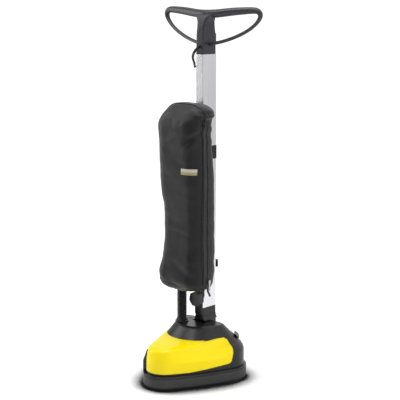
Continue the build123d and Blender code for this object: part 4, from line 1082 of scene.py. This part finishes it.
def label_material():
    """Pale above, gold below, with a fine weave."""
    material, tree, shader, place = new_material("label_cloth")
    height = add(tree, "SeparateXYZ", {0: place}).outputs["Z"]
    middle = (label_low.z + label_high.z) / 2
    upper = remap(tree, height, middle - LABEL_BORDER, middle + LABEL_BORDER)
    fibres = add(tree, "TexNoise", {"Vector": place, "Scale": 900.0, "Detail": 4.0}).outputs["Fac"]
    tone = colour_mix(tree, upper, colour(160, 148, 98), colour(190, 187, 180))
    tone = colour_mix(tree, remap(tree, fibres, 0.3, 0.75, 0.0, 0.2), tone, colour(120, 114, 92))
    connect(tree, tone, shader, "Base Color")
    shader.inputs["Roughness"].default_value = 0.5
    bump = add(tree, "Bump", {"Height": fibres, "Distance": 0.0001, "Strength": 0.5})
    connect(tree, bump.outputs[0], shader, "Normal")
    return material


def blank_label():
    """Label that follows the skin of the front, a little thicker at its hems."""
    columns = np.linspace(label_low.x + LABEL_INSET, label_high.x - LABEL_INSET, LABEL_COLUMNS)
    rows = np.linspace(label_low.z, label_high.z, len(LABEL_LIFTS))
    points = [front_side(x, z, lift) for x in columns for z, lift in zip(rows, LABEL_LIFTS)]
    return mesh_object("bag_badge", points, grid_faces(LABEL_COLUMNS, len(rows)), finishes["label_plate"])


finishes["label_plate"] = label_material()
label = sewn(blank_label())
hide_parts("bag_label")
print("label size:", [round(v, 4) for v in label.dimensions])

# %% [markdown]
# ## Strap tails
#
# Two ends of webbing hang from the foot of the zip, to hold the bag by while the zip is pulled. They
# are flat and short enough to be built directly: a thin six-sided outline, repeated down a line
# that leans and ripples a little.


# %% Strap tails
TAIL_ROWS = 14
TAIL_OUTLINE = [
    # share of the width, and thickness in metres
    (-0.5, 0.0), (-0.46, 0.0007), (0.46, 0.0007), (0.5, 0.0), (0.46, -0.0007), (-0.46, -0.0007),
]


def strap(name, top, length, width, lean):
    """A short webbing tail that hangs from a point and leans along x; all in metres."""
    points = []
    for step in range(TAIL_ROWS):
        share = step / (TAIL_ROWS - 1)
        drop = Vector((lean * share ** 1.5, -0.003 * math.sin(share * 5), -length * share))
        points += [top + drop + Vector((thick, across * width, 0)) for across, thick in TAIL_OUTLINE]
    faces = grid_faces(TAIL_ROWS, len(TAIL_OUTLINE), closed=True)
    return mesh_object(name, points, faces, finishes["piping"])


zip_foot = right_side(zip_y, bag_low.z + 0.022, 0.0005)
sewn(strap("strap_tail_front", zip_foot + Vector((-0.004, -0.006, 0)), 0.036, 0.010, -0.010))
sewn(strap("strap_tail_rear", zip_foot + Vector((-0.002, 0.008, -0.002)), 0.028, 0.008, 0.004))
print("strap tails from", [round(v, 4) for v in zip_foot])

# %% [markdown]
# ## The suction hose
#
# The hose is held at both ends: in the flange on the dome and in the bag's mouth. On the real one a
# rib runs round it every few millimetres, which lets it bend without closing. A bump texture would
# leave its outline straight, so the ribs are in the mesh. It is one straight skin between the head
# and the handle.


# %% Hose
HOSE_RIB = 0.0021       # height of a rib
HOSE_PITCH = 0.0044     # distance from rib to rib
HOSE_ROWS = 8           # rows of points for each rib
HOSE_SIDES = 56


def corrugated_hose():
    """Rounded ribs round an upright line, between the two seats of the CAD hose."""
    low, high = (Vector(corner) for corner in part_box("suction_hose"))
    middle = (low + high) / 2
    valley = (high.x - low.x) / 2 - HOSE_RIB
    rows = list(np.arange(low.z, high.z, HOSE_PITCH / HOSE_ROWS)) + [high.z]
    points = []
    for z in rows:
        wave = 0.5 - 0.5 * math.cos(math.tau * (z - low.z) / HOSE_PITCH)
        radius = valley + HOSE_RIB * wave ** 0.6
        for step in range(HOSE_SIDES):
            angle = math.tau * step / HOSE_SIDES
            points.append((middle.x + radius * math.cos(angle), middle.y + radius * math.sin(angle), z))
    faces = grid_faces(len(rows), HOSE_SIDES, closed=True)
    faces.append(tuple(reversed(range(HOSE_SIDES))))
    faces.append(tuple(range(len(points) - HOSE_SIDES, len(points))))
    piece = mesh_object("corrugated_hose", points, faces, finishes["hose_rubber"])
    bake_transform(piece)
    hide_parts("suction_hose")
    return piece


hose = corrugated_hose()
print("hose size:", [round(v, 4) for v in hose.dimensions])

# %% [markdown]
# ## Finishes on the CAD parts
#
# The frame's record names a finish for each CAD part. The hard parts keep their CAD shape, so all
# they need is the material of that name in their slot.


# %% Dress the CAD parts
def dress_nodes():
    """Put each CAD part's finish in its material slot; returns how many finishes are in use."""
    slots = {part["node"]: part["material_slot"] for part in frame["record"]["subparts"]}
    for name, part in cad_nodes.items():
        part.data.materials.clear()
        part.data.materials.append(finishes[slots[name]])
    return len({slots[name] for name in cad_nodes})


print("CAD parts dressed:", len(cad_nodes), "with", dress_nodes(), "finishes")
